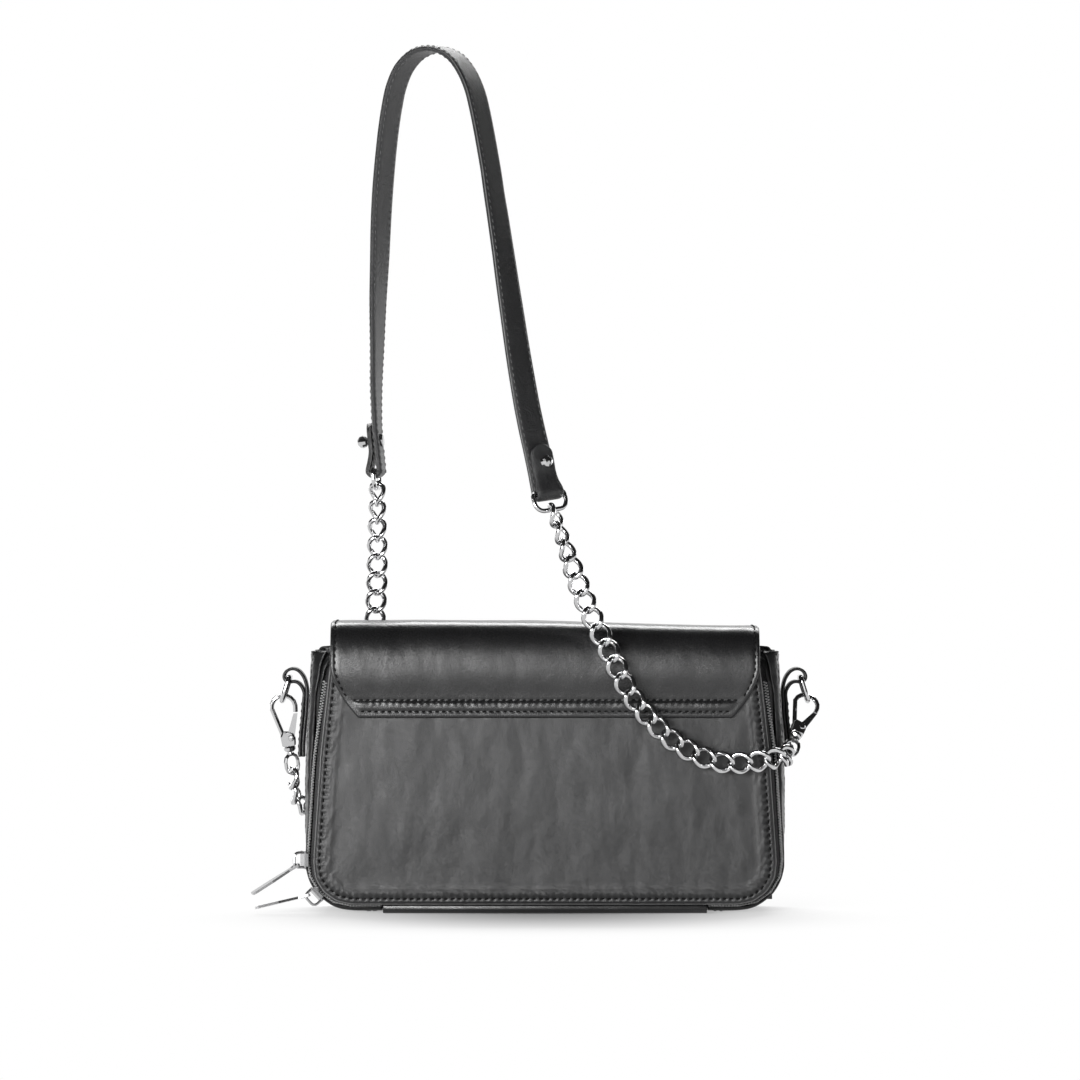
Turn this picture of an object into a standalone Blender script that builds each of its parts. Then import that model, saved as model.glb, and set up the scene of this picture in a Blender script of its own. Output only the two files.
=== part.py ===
"""Small zip-back flap purse with a leather and chain shoulder strap.

Metres, +Z up. The origin is on the ground under the middle of the base.
The zipped back faces -Y and the flap closes over the front at +Y.
"""
import math

import bmesh
import bpy
from mathutils import Matrix, Vector

MM = 0.001

# clearances between pieces
TOUCH_GAP = 0.3 * MM
SEAT_GAP = 0.15 * MM
CUT_OVERRUN = 2.0 * MM
WELD = 0.01 * MM

# body of the bag
BAG_WIDTH = 242.4 * MM
BAG_TOP_WIDTH = 234.0 * MM
WALL_HEIGHT = 138.5 * MM
GUSSET_DROP = 6.5 * MM
GUSSET_HEIGHT = WALL_HEIGHT - GUSSET_DROP
FRONT_FACE_Y = 30.0 * MM
BACK_FACE_Y = -32.0 * MM
BOTTOM_RADIUS = 23.0 * MM
LEATHER = 1.4 * MM
PANEL_THICKNESS = 2.4 * MM
LINING_THICKNESS = 0.8 * MM
GUSSET_FOLD_DEPTH = 3.5 * MM
BASE_THICKNESS = 2.4 * MM
DIVIDER_Y = -19.0 * MM
DIVIDER_THICKNESS = 1.6 * MM
PANEL_CROWN = 1.8 * MM

# back panel and the zip round it
PANEL_BOTTOM_Z = 4.3 * MM
PANEL_TOP_DROP = 2.5 * MM
PANEL_TOP_Z = WALL_HEIGHT - PANEL_TOP_DROP
ZIP_WAIST_SHARE = 0.5776
ZIP_WAIST_Z = WALL_HEIGHT * ZIP_WAIST_SHARE
WALL_WAIST_HALF = (BAG_WIDTH + (BAG_TOP_WIDTH - BAG_WIDTH) * ZIP_WAIST_Z / GUSSET_HEIGHT) / 2
PANEL_BOTTOM_INSET = 3.6 * MM
PANEL_BOTTOM_HALF = BAG_WIDTH / 2 - PANEL_BOTTOM_INSET
PANEL_WAIST_INSET = 6.05 * MM
PANEL_WAIST_HALF = WALL_WAIST_HALF - PANEL_WAIST_INSET
PANEL_TOP_INSET = 10.5 * MM
PANEL_TOP_HALF = BAG_TOP_WIDTH / 2 - PANEL_TOP_INSET
ZIP_BOTTOM_Z = 3.4 * MM
ZIP_TOP_RISE = 0.5 * MM
ZIP_TOP_Z = WALL_HEIGHT + ZIP_TOP_RISE
ZIP_BOTTOM_INSET = 0.4 * MM
ZIP_BOTTOM_HALF = BAG_WIDTH / 2 - ZIP_BOTTOM_INSET
ZIP_WAIST_INSET = 2.45 * MM
ZIP_WAIST_HALF = WALL_WAIST_HALF - ZIP_WAIST_INSET
ZIP_TOP_INSET = 10.7 * MM
ZIP_TOP_HALF = BAG_TOP_WIDTH / 2 - ZIP_TOP_INSET
ZIP_Y = -26.0 * MM
ZIP_CORNER_RADIUS = 22.0 * MM
ZIP_TOP_RADIUS = 16.0 * MM
REAR_HINGE_Y = -33.0 * MM
REAR_HINGE_Z = 4.3 * MM
SPINE_END_INSET = 39.2 * MM
SPINE_HALF = BAG_WIDTH / 2 - SPINE_END_INSET
COIL_RADIUS = 0.5 * MM
COIL_OFFSET = 1.5 * MM
COIL_GAP = 0.3 * MM
TAPE_THICKNESS = 0.5 * MM
TAPE_WIDTH = 5.0 * MM
TAPE_FRONT_Y = -21.0 * MM
SPINE_THICKNESS = 1.4 * MM

# flap
FLAP_THICKNESS = 2.0 * MM
FLAP_INSET = 9.5 * MM
FLAP_HALF = BAG_TOP_WIDTH / 2 - FLAP_INSET
FLAP_RISE = 8.5 * MM
FLAP_TOP_Z = WALL_HEIGHT + FLAP_RISE
FLAP_REAR_DROP = 49.5 * MM
FLAP_REAR_END_Z = FLAP_TOP_Z - FLAP_REAR_DROP
FLAP_REAR_CORNER = 22.0 * MM
FLAP_REAR_TAPER = 14.0 * MM
FLAP_REAR_TIP_HALF = FLAP_HALF - FLAP_REAR_TAPER
FLAP_HINGE_RISE = 0.1 * MM
FLAP_HINGE_Z = WALL_HEIGHT + FLAP_HINGE_RISE
FLAP_FRONT_DROP = 105.0 * MM
FLAP_FRONT_END_Z = FLAP_TOP_Z - FLAP_FRONT_DROP
FLAP_FRONT_CORNER = 24.0 * MM
FLAP_FRONT_TAPER = 23.5 * MM
FLAP_FRONT_TIP_HALF = FLAP_HALF - FLAP_FRONT_TAPER

# inner pockets
SLIP_POCKET_SIZE = (120.0 * MM, 64.0 * MM)
SLIP_POCKET_BOTTOM_Z = 36.0 * MM
CARD_POCKET_SIZE = (150.0 * MM, 70.0 * MM)
CARD_POCKET_BOTTOM_Z = 22.0 * MM
POCKET_THICKNESS = 1.0 * MM

# sliders and their pulls
SLIDER_LENGTH = 9.0 * MM
SLIDER_WIDTH = 7.4 * MM
SLIDER_PLATE = 1.0 * MM
SLIDER_HEADROOM = 1.5 * MM
SLIDER_INNER_WIDTH = 2.8 * MM
SLIDER_INNER_ROOM = 2.4 * MM
SLIDER_POST = (2.2 * MM, 0.4 * MM)
BAIL_WIRE = 1.5 * MM
BAIL_HEIGHT = 4.8 * MM
BAIL_LENGTH = 7.4 * MM
PULL_LENGTH = 28.5 * MM
PULL_WIDTH = 5.2 * MM
PULL_THICKNESS = 1.2 * MM
PULL_HOLE = 4.0 * MM
PULL_SLACK_SHARE = 0.2
UPPER_SLIDER_Z = 26.5 * MM
UPPER_PULL_TILT = 29.0
LOWER_PULL_TILT = 14.0

# side tabs and rings
TAB_WIDTH = 13.6 * MM
TAB_THICKNESS = 3.4 * MM
TAB_BOTTOM_DROP = 55.0 * MM
TAB_BOTTOM_Z = GUSSET_HEIGHT - TAB_BOTTOM_DROP
TAB_SPLIT_DROP = 28.0 * MM
TAB_SPLIT_Z = GUSSET_HEIGHT - TAB_SPLIT_DROP
TAB_Y = 8.0 * MM
EYE_OUT = 8.4 * MM
EYE_X = max(BAG_WIDTH, BAG_TOP_WIDTH) / 2 + EYE_OUT
EYE_DROP = 14.2 * MM
EYE_Z = GUSSET_HEIGHT - EYE_DROP
EYE_RADIUS = 1.9 * MM
EYE_OUTER = 4.0 * MM
RING_WIRE = 2.5 * MM
RING_WIDTH = 16.6 * MM
RING_DEPTH = 12.6 * MM
RING_CORNER = 5.5 * MM
RING_TILT = 17.0

# swivel snap hooks
HOOK_WIRE = 2.4 * MM
HOOK_BOW_RADIUS = 6.0 * MM
HOOK_BOW_HEIGHT = 20.5 * MM
HOOK_NOSE_DROP = 3.2 * MM
HOOK_BASE_HEIGHT = 7.0 * MM
HOOK_BASE_HALF = 3.4 * MM
HOOK_THICKNESS = 4.6 * MM
COLLAR_RADIUS = 3.0 * MM
COLLAR_DROP = 3.0 * MM
SLOT_WIDTH = 2.8 * MM
RIVET_RADIUS = 0.8 * MM
RIVET_HEAD = 1.6 * MM
RIVET_X = 1.6 * MM
RIVET_Z = 4.4 * MM
GATE_WIDTH = 2.2 * MM
STEM_RADIUS = 0.8 * MM
STEM_BORE = 1.05 * MM
STEM_HEAD = 1.25 * MM
EYELET_WIRE = 1.8 * MM
SWIVEL_TRIMS = {"left": -10.0, "right": -45.0}
EYELET_LENGTH = 12.0 * MM
EYELET_WIDTH = 9.0 * MM
# how each hook hangs, in degrees: its top's lean to the right, and away from the back
HOOK_LEAN_LEFT = (-8.0, -10.0)
HOOK_LEAN_RIGHT = (22.0, 40.0)

# curb chain
LINK_LENGTH = 13.6 * MM
LINK_WIDTH = 11.4 * MM
LINK_WIRE = 2.5 * MM
LINK_BITE = 0.6 * MM
LINK_TWIST = 45.0
LINK_COUNT = 23
LINK_POINTS = 12

# leather strap
STRAP_WIDTH = 14.5 * MM
STRAP_THICKNESS = 3.0 * MM
STRAP_LOW_RISE = 92.8 * MM
STRAP_LOW_Z = EYE_Z + STRAP_LOW_RISE
STRAP_LOOP_HEIGHT = 225.4 * MM
STRAP_SPREAD_X = 100.0 * MM
STRAP_SPREAD_Y = 50.0 * MM
STRAP_STATIONS = 44
FOLD_STATIONS = 6
TONGUE_LENGTH = 27.0 * MM
STRAP_RING_WIRE = 2.3 * MM
STRAP_RING_WIDTH = 15.2 * MM
STRAP_RING_DEPTH = 9.4 * MM
STUD_HEAD = 3.3 * MM
STUD_POST = 1.5 * MM
STUD_FLANGE = 3.5 * MM
STUD_FLANGE_THICKNESS = 1.0 * MM
STUD_LIFT = 15.0 * MM
STRAP_RING_SWING_LEFT = 0.0
STRAP_RING_SWING_RIGHT = 12.0

# the strap's centre line, from the left end over the top to the right end:
# across in shares of its spread, forward in shares of its turn, up from its low
# end in shares of the loop's height
STRAP_ROUTE_SHARES = [
    (-0.840, 0.640, 0.0560), (-0.860, 0.640, 0.1489), (-0.865, 0.620, 0.2379),
    (-0.860, 0.580, 0.3269), (-0.854, 0.520, 0.4390), (-0.843, 0.440, 0.5512),
    (-0.831, 0.360, 0.6634), (-0.809, 0.270, 0.7756), (-0.772, 0.170, 0.8878),
    (-0.725, 0.090, 0.9497), (-0.655, 0.000, 0.9855), (-0.560, -0.110, 0.9971),
    (-0.463, -0.220, 0.9807), (-0.390, -0.330, 0.9381), (-0.339, -0.410, 0.8762),
    (-0.288, -0.520, 0.7621), (-0.249, -0.610, 0.6499), (-0.211, -0.690, 0.5377),
    (-0.174, -0.760, 0.4255), (-0.137, -0.820, 0.3152), (-0.095, -0.880, 0.2031),
    (-0.062, -0.920, 0.1334), (-0.025, -0.940, 0.0599), (0.000, -0.950, -0.0001),
]
# how far the strap's width is turned from fore-and-aft at its ends and top, in degrees
STRAP_TURN_LEFT = 8.0
STRAP_TURN_TOP = 40.0
STRAP_TURN_RIGHT = 64.0
# where along the strap the left twist ends and the right one starts
STRAP_TWIST_SHARES = (0.30, 0.62)

# the two chain runs between the strap rings and the hooks: across in shares of the
# span between the tabs' eyes, forward in shares of the bag's depth, and up from the
# eyes in shares of the chain's reach; both ends come from the rings and hooks
CHAIN_REACH = 100.0 * MM
CHAIN_LEFT_SHARES = [
    (-0.3329, 0.605, 0.5272), (-0.3367, 0.615, 0.3361), (-0.3423, 0.625, 0.0274),
    (-0.3647, 0.630, -0.2960), (-0.4021, 0.625, -0.5459), (-0.4489, 0.560, -0.6488),
    (-0.4891, 0.400, -0.6267),
]
CHAIN_RIGHT_SHARES = [
    (0.0608, -0.730, 0.4978), (0.0926, -0.745, 0.3067), (0.1253, -0.750, 0.1450),
    (0.1637, -0.735, -0.0461), (0.2123, -0.705, -0.1960), (0.2600, -0.685, -0.2989),
    (0.3180, -0.680, -0.3768), (0.3741, -0.675, -0.4018), (0.4302, -0.620, -0.3945),
    (0.4723, -0.450, -0.3842),
]
BAG_DEPTH = FRONT_FACE_Y - BACK_FACE_Y

# colours, roughness and metallic value of each finish
FINISHES = {
    "leather": ((0.035, 0.035, 0.036), 0.42, 0.0),
    "leather_back": ((0.075, 0.075, 0.076), 0.45, 0.0),
    "lining": ((0.030, 0.030, 0.032), 0.85, 0.0),
    "tape": ((0.020, 0.020, 0.021), 0.80, 0.0),
    "coil": ((0.030, 0.030, 0.030), 0.35, 0.0),
    "steel": ((0.62, 0.62, 0.63), 0.16, 1.0),
}

PI = math.pi


def clear_scene():
    for obj in list(bpy.data.objects):
        bpy.data.objects.remove(obj, do_unlink=True)


def new_collection(name):
    made = bpy.data.collections.new(name)
    bpy.context.scene.collection.children.link(made)
    return made


clear_scene()
PURSE = new_collection("purse")
CUTTERS = new_collection("cutters")


def make_finishes():
    made = {}
    for name, (colour, roughness, metallic) in FINISHES.items():
        mat = bpy.data.materials.new(name)
        mat.use_nodes = True
        shader = mat.node_tree.nodes["Principled BSDF"]
        shader.inputs["Base Color"].default_value = (*colour, 1.0)
        shader.inputs["Roughness"].default_value = roughness
        shader.inputs["Metallic"].default_value = metallic
        made[name] = mat
    return made


MATERIALS = make_finishes()


def pivot(name, at, parent=None):
    """An empty on a joint's axis, which carries the pieces that move on it."""
    empty = bpy.data.objects.new(name, None)
    empty.empty_display_size = TAB_WIDTH
    PURSE.objects.link(empty)
    if parent:
        empty.parent = parent
        empty.matrix_parent_inverse = parent.matrix_world.inverted()
    empty.location = at
    bpy.context.view_layer.update()
    return empty


def add_part(obj, finish, carrier=None, smooth=True):
    """Puts a finished piece in the purse, under the empty that carries it."""
    for owner in list(obj.users_collection):
        owner.objects.unlink(obj)
    PURSE.objects.link(obj)
    obj.data.materials.clear()
    obj.data.materials.append(MATERIALS[finish])
    if smooth and obj.type == "MESH":
        obj.data.shade_smooth()
        obj.data.set_sharp_from_angle(angle=math.radians(35))
    if carrier:
        obj.parent = carrier
        obj.matrix_parent_inverse = carrier.matrix_world.inverted()
    bpy.context.view_layer.update()
    return obj


def mesh_object(name, verts, faces):
    mesh = bpy.data.meshes.new(name)
    mesh.from_pydata([tuple(v) for v in verts], [], faces)
    mesh.update()
    obj = bpy.data.objects.new(name, mesh)
    PURSE.objects.link(obj)
    return obj


def move_to_cutters(obj):
    for owner in list(obj.users_collection):
        owner.objects.unlink(obj)
    CUTTERS.objects.link(obj)
    obj.hide_render = True
    obj.display_type = "WIRE"
    return obj


def solidify(obj, thickness, offset=0.0):
    mod = obj.modifiers.new("Solidify", "SOLIDIFY")
    mod.thickness = thickness
    mod.offset = offset
    mod.use_even_offset = True
    return obj


def bevel(obj, width, segments=1, angle=35.0):
    mod = obj.modifiers.new("Bevel", "BEVEL")
    mod.width = width
    mod.segments = segments
    mod.limit_method = "ANGLE"
    mod.angle_limit = math.radians(angle)
    return obj


def boolean(obj, other, operation):
    move_to_cutters(other)
    mod = obj.modifiers.new("Boolean", "BOOLEAN")
    mod.operation = operation
    mod.solver = "EXACT"
    mod.object = other
    bpy.context.view_layer.update()
    return obj


def cut(obj, other):
    return boolean(obj, other, "DIFFERENCE")


def join(obj, other):
    return boolean(obj, other, "UNION")


def settle(obj):
    """Turns a curve, or a mesh with modifiers, into a plain welded mesh."""
    bpy.context.view_layer.update()
    graph = bpy.context.evaluated_depsgraph_get()
    mesh = bpy.data.meshes.new_from_object(obj.evaluated_get(graph))
    work = bmesh.new()
    work.from_mesh(mesh)
    bmesh.ops.remove_doubles(work, verts=work.verts, dist=WELD)
    work.to_mesh(mesh)
    work.free()
    name = obj.name
    world = obj.matrix_world.copy()
    bpy.data.objects.remove(obj, do_unlink=True)
    made = bpy.data.objects.new(name, mesh)
    made.matrix_world = world
    PURSE.objects.link(made)
    bpy.context.view_layer.update()
    return made


def wire(name, points, radius, closed=False, resolution=1):
    """A round wire along points, as a mesh."""
    data = bpy.data.curves.new(name, "CURVE")
    data.dimensions = "3D"
    data.bevel_depth = radius
    data.bevel_resolution = resolution
    data.use_fill_caps = not closed
    spline = data.splines.new("POLY")
    spline.points.add(len(points) - 1)
    for slot, at in zip(spline.points, points):
        slot.co = (*at, 1.0)
    spline.use_cyclic_u = closed
    obj = bpy.data.objects.new(name, data)
    PURSE.objects.link(obj)
    return settle(obj)


def plate(name, outlines, thickness):
    """A flat outline, with any holes, given thickness about its own plane."""
    data = bpy.data.curves.new(name, "CURVE")
    data.dimensions = "2D"
    data.fill_mode = "BOTH"
    data.extrude = thickness / 2
    for outline in outlines:
        spline = data.splines.new("POLY")
        spline.points.add(len(outline) - 1)
        for slot, (a, b) in zip(spline.points, outline):
            slot.co = (a, b, 0.0, 1.0)
        spline.use_cyclic_u = True
    obj = bpy.data.objects.new(name, data)
    PURSE.objects.link(obj)
    return settle(obj)


def stand_up(obj, at=(0.0, 0.0, 0.0)):
    """Turns a plate drawn in XY so that it stands in XZ at a given place."""
    obj.matrix_world = Matrix.Translation(at) @ Matrix.Rotation(PI / 2, 4, "X")
    bpy.context.view_layer.update()
    return obj


def cylinder(name, radius, depth, at, axis="Z", sides=16):
    bpy.ops.mesh.primitive_cylinder_add(vertices=sides, radius=radius, depth=depth)
    obj = bpy.context.object
    obj.name = name
    turn = {
        "X": Matrix.Rotation(PI / 2, 4, "Y"),
        "Y": Matrix.Rotation(PI / 2, 4, "X"),
        "Z": Matrix.Identity(4),
    }[axis]
    obj.matrix_world = Matrix.Translation(at) @ turn
    bpy.context.view_layer.update()
    return obj


def block(name, size, at):
    bpy.ops.mesh.primitive_cube_add(size=1.0)
    obj = bpy.context.object
    obj.name = name
    obj.data.transform(Matrix.Diagonal((*size, 1.0)))
    obj.matrix_world = Matrix.Translation(at)
    bpy.context.view_layer.update()
    return obj


def turned(name, profile, steps=16):
    """A turned piece: a profile of radius and height, run from its top down."""
    mesh = bpy.data.meshes.new(name)
    verts = [(r, 0.0, h) for r, h in profile]
    edges = [(n, n + 1) for n in range(len(verts) - 1)]
    mesh.from_pydata(verts, edges, [])
    obj = bpy.data.objects.new(name, mesh)
    PURSE.objects.link(obj)
    mod = obj.modifiers.new("Screw", "SCREW")
    mod.steps = steps
    mod.render_steps = steps
    mod.use_merge_vertices = True
    mod.merge_threshold = WELD
    return settle(obj)


def rounded_path(corners, radii, steps, closed):
    """Fillets each corner of a plane path with an arc of equal steps."""
    count = len(corners)
    points = []
    for n in range(count):
        here = Vector(corners[n])
        if radii[n] == 0.0 or (not closed and n in (0, count - 1)):
            points.append(here)
            continue
        before = (Vector(corners[n - 1]) - here).normalized()
        after = (Vector(corners[(n + 1) % count]) - here).normalized()
        half = before.angle(after) / 2
        reach = radii[n] / math.tan(half)
        centre = here + (before + after).normalized() * (radii[n] / math.sin(half))
        start = here + before * reach - centre
        end = here + after * reach - centre
        sweep = start.angle_signed(end)
        for k in range(steps + 1):
            turn = -sweep * k / steps
            c, s = math.cos(turn), math.sin(turn)
            points.append(centre + Vector((start.x * c - start.y * s, start.x * s + start.y * c)))
    return points


def smooth_route(points, count):
    """Even points along a smooth curve through the route's own points."""
    route = [Vector(p) for p in points]
    dense = []
    fine = 12
    for n in range(len(route) - 1):
        a = route[max(n - 1, 0)]
        b, c = route[n], route[n + 1]
        d = route[min(n + 2, len(route) - 1)]
        for k in range(fine):
            t = k / fine
            dense.append(
                b * 1.0
                + (c - a) * (0.5 * t)
                + (a * 2 - b * 5 + c * 4 - d) * (0.5 * t * t)
                + (b * 3 - a - c * 3 + d) * (0.5 * t * t * t)
            )
    dense.append(route[-1])
    return even_points(dense, count)


def even_points(dense, count):
    lengths = [0.0]
    for a, b in zip(dense, dense[1:]):
        lengths.append(lengths[-1] + (b - a).length)
    made = []
    n = 0
    for k in range(count):
        want = lengths[-1] * k / (count - 1)
        while n < len(dense) - 2 and lengths[n + 1] < want:
            n += 1
        span = lengths[n + 1] - lengths[n]
        made.append(dense[n].lerp(dense[n + 1], (want - lengths[n]) / span if span else 0.0))
    return made


def route_length(points):
    return sum((b - a).length for a, b in zip(points, points[1:]))


def grid(name, rows):
    """An open sheet through rows of points, each row as long as the next."""
    wide = len(rows[0])
    verts = [p for row in rows for p in row]
    faces = [
        (r * wide + c, r * wide + c + 1, (r + 1) * wide + c + 1, (r + 1) * wide + c)
        for r in range(len(rows) - 1)
        for c in range(wide - 1)
    ]
    return mesh_object(name, verts, faces)


def face_out(obj):
    """Makes the faces of a closed piece point out."""
    work = bmesh.new()
    work.from_mesh(obj.data)
    bmesh.ops.recalc_face_normals(work, faces=work.faces)
    work.to_mesh(obj.data)
    work.free()
    return obj


def smooth_step(t):
    t = min(max(t, 0.0), 1.0)
    return t * t * (3 - 2 * t)


# outlines round the back, all with the same number of points
RING_STEPS = 4


def wall_half(z):
    """Half the width over the side walls at a height above the corner arcs."""
    return (BAG_WIDTH + (BAG_TOP_WIDTH - BAG_WIDTH) * z / GUSSET_HEIGHT) / 2


def mirrored(half):
    return half + [(-x, z) for x, z in reversed(half)]


def ring_outline(bottom_half, bottom_z, waist_half, top_half, top_z, low_radius, top_radius):
    half = [
        (-SPINE_HALF, bottom_z),
        (-bottom_half, bottom_z),
        (-waist_half, ZIP_WAIST_Z),
        (-top_half, top_z),
    ]
    radii = [0.0, low_radius, BAG_WIDTH, top_radius]
    path = rounded_path(mirrored(half), radii + radii[::-1], RING_STEPS, False)
    arc = RING_STEPS + 1
    left = path[: 1 + 3 * arc]
    made = left[: 1 + arc]
    made += between(left[arc], left[arc + 1], 1)
    made += left[1 + arc: 1 + 2 * arc]
    made += between(left[2 * arc], left[2 * arc + 1], 3)
    made += left[1 + 2 * arc:]
    return made + [Vector((-p.x, p.y)) for p in reversed(made)]


def between(a, b, count):
    """Even points between two ends, without the ends."""
    return [a.lerp(b, k / (count + 1)) for k in range(1, count + 1)]


ZIP_LINE = ring_outline(
    ZIP_BOTTOM_HALF, ZIP_BOTTOM_Z, ZIP_WAIST_HALF, ZIP_TOP_HALF, ZIP_TOP_Z,
    ZIP_CORNER_RADIUS, ZIP_TOP_RADIUS,
)
PANEL_LINE = ring_outline(
    PANEL_BOTTOM_HALF, PANEL_BOTTOM_Z, PANEL_WAIST_HALF, PANEL_TOP_HALF, PANEL_TOP_Z,
    ZIP_CORNER_RADIUS - TAPE_WIDTH / 2, ZIP_TOP_RADIUS - TAPE_WIDTH / 2,
)


WALL_LINE = ring_outline(
    (BAG_WIDTH - LEATHER) / 2, LEATHER / 2, wall_half(ZIP_WAIST_Z) - LEATHER / 2,
    wall_half(ZIP_TOP_Z) - LEATHER / 2, ZIP_TOP_Z, BOTTOM_RADIUS, TAPE_WIDTH / 2,
)


def outward(line, n):
    a = line[max(n - 1, 0)]
    b = line[min(n + 1, len(line) - 1)]
    along = (b - a).normalized()
    return Vector((-along.y, along.x))


def tape_reach(point):
    """How far the front tape's far edge lies outboard of the zip."""
    full = wall_half(point.y) - LEATHER - abs(point.x) - TOUCH_GAP
    low = -COIL_RADIUS
    rise = smooth_step((point.y - ZIP_WAIST_Z) / (GUSSET_HEIGHT - ZIP_WAIST_Z) * 1.6)
    fall = smooth_step((ZIP_TOP_Z - point.y) / (ZIP_TOP_RADIUS / 2))
    return low + (full - low) * rise * fall


def zip_frame(n):
    """The zip's place, the ways across to each tape and the way out, at point n."""
    point = ZIP_LINE[n]
    out = outward(ZIP_LINE, n)
    across = out * tape_reach(point)
    place = Vector((point.x, ZIP_Y, point.y))
    out3 = Vector((out.x, 0.0, out.y))
    front = Vector((across.x, TAPE_FRONT_Y - ZIP_Y, across.y)).normalized()
    edge = PANEL_LINE[n]
    rear_end = Vector((edge.x, BACK_FACE_Y + PANEL_THICKNESS + TOUCH_GAP + TAPE_THICKNESS / 2, edge.y))
    last = len(ZIP_LINE) - 1
    run = ZIP_LINE[min(n + 1, last)] - ZIP_LINE[max(n - 1, 0)]
    along = Vector((run.x, 0.0, run.y)).normalized()
    rear = rear_end - place
    rear = (rear - along * rear.dot(along)).normalized()
    return place, front, rear, out3, rear_end


def body_outline(inset, top_z, steps=6):
    """The bag's outline seen from behind, moved in by an inset."""
    corners = [
        (-BAG_WIDTH / 2 + inset, inset),
        (-wall_half(top_z) + inset, top_z),
        (wall_half(top_z) - inset, top_z),
        (BAG_WIDTH / 2 - inset, inset),
    ]
    low = BOTTOM_RADIUS - inset
    top = BOTTOM_RADIUS / 4
    return rounded_path(corners, [low, top, top, low], steps, True)


def crowned_panel(name, outline, insets, face_y, side, finish, carrier=None):
    """A padded panel: rings drawn in from its outline and lifted, then given thickness."""
    middle_z = (min(p.y for p in outline) + max(p.y for p in outline)) / 2
    half_x = max(p.x for p in outline)
    half_z = max(p.y for p in outline) - middle_z
    count = len(outline)
    verts = []
    for inset, lift in insets:
        for p in outline:
            x = p.x * (1 - inset / half_x)
            z = middle_z + (p.y - middle_z) * (1 - inset / half_z)
            verts.append((x, face_y + side * lift, z))
    faces = []
    for ring in range(len(insets) - 1):
        for n in range(count):
            after = (n + 1) % count
            low, high = ring * count, (ring + 1) * count
            faces.append((low + n, low + after, high + after, high + n))
    last = (len(insets) - 1) * count
    faces.append(tuple(last + n for n in range(count)))
    obj = mesh_object(name, verts, faces)
    if side < 0:
        obj.data.flip_normals()
    solidify(obj, PANEL_THICKNESS, -1.0)
    obj = settle(obj)
    face_out(obj)
    return add_part(obj, finish, carrier)


# how a padded panel's crown rises: how far in, in shares of the panel's half height,
# and how high, in shares of the crown
CROWN_SHARES = [(0.0, 0.0), (0.035, 0.30), (0.11, 0.42), (0.14, 0.58), (0.42, 0.90), (0.72, 1.0)]


def crown_insets(outline, crown):
    half_z = (max(p.y for p in outline) - min(p.y for p in outline)) / 2
    return [(a * half_z, b * crown) for a, b in CROWN_SHARES]


def make_back_panel(carrier):
    outline = [Vector(p) for p in PANEL_LINE]
    obj = crowned_panel(
        "back_panel", outline, crown_insets(outline, PANEL_CROWN),
        BACK_FACE_Y, -1.0, "leather_back", carrier,
    )
    return obj


def make_front_panel():
    outline = body_outline(LEATHER, WALL_HEIGHT)
    return crowned_panel(
        "front_panel", outline, crown_insets(outline, PANEL_CROWN),
        FRONT_FACE_Y, 1.0, "leather",
    )


def wall_point(n):
    """Where section n meets the wall: round the corner's arc, then level with the zip."""
    if n <= RING_STEPS + 1:
        return WALL_LINE[n]
    high = ZIP_LINE[n].y
    return Vector((LEATHER / 2 - wall_half(high), high))


def wall_row(n):
    """The side wall's section at point n, from its front edge to the edge turned in at the zip."""
    p = wall_point(n)
    place, front, _, out3, _ = zip_frame(n)
    a, b = ZIP_LINE[max(n - 1, 0)], ZIP_LINE[n + 1]
    along = Vector((b.x - a.x, 0.0, b.y - a.y)).normalized()
    lift = front.cross(along)
    if lift.dot(out3) < 0:
        lift = -lift
    rise = smooth_step((p.y - BOTTOM_RADIUS) / BOTTOM_RADIUS)
    front_y = FRONT_FACE_Y - PANEL_THICKNESS - TOUCH_GAP
    rear_y = TAPE_FRONT_Y + LEATHER
    stand_off = TAPE_THICKNESS / 2 + TOUCH_GAP + SEAT_GAP + LEATHER / 2
    return [
        Vector((p.x, front_y, p.y)),
        Vector((p.x, front_y * 0.6, p.y)),
        Vector((p.x, 0.0, p.y)) - out3 * GUSSET_FOLD_DEPTH * rise,
        Vector((p.x, rear_y * 0.6, p.y)),
        Vector((p.x, rear_y, p.y)),
        place + front * (TAPE_WIDTH - LEATHER / 2) + lift * stand_off,
    ]


def in_triangles(obj):
    """Splits every face into triangles, so that a twisted face has one shape only."""
    work = bmesh.new()
    work.from_mesh(obj.data)
    bmesh.ops.triangulate(work, faces=work.faces)
    work.to_mesh(obj.data)
    work.free()


def make_side_wall(name, side):
    """A folding side wall with the bottom corner's arc and the rear edge turned to the zip."""
    rows = []
    for n in range(len(WALL_LINE) // 2 - 1):
        row = wall_row(n)
        if row[0].z > GUSSET_HEIGHT:
            low = rows[-1]
            share = (GUSSET_HEIGHT - low[0].z) / (row[0].z - low[0].z)
            rows.append([a.lerp(b, share) for a, b in zip(low, row)])
            break
        rows.append(row)
    obj = grid(name, [[Vector((side * -v.x, v.y, v.z)) for v in row] for row in rows])
    solidify(obj, LEATHER)
    obj = settle(obj)
    face_out(obj)
    in_triangles(obj)
    return add_part(obj, "leather")


def make_base_panel():
    """The stiffened base: the flat face that the bag rests on."""
    depth = FRONT_FACE_Y - PANEL_THICKNESS - TOUCH_GAP - TAPE_FRONT_Y
    half = SPINE_HALF - TOUCH_GAP
    middle = TAPE_FRONT_Y + depth / 2
    obj = block("base_panel", (2 * half, depth, BASE_THICKNESS), (0.0, middle, BASE_THICKNESS / 2))
    bevel(obj, TOUCH_GAP * 2)
    return add_part(settle(obj), "leather", smooth=False)


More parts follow.
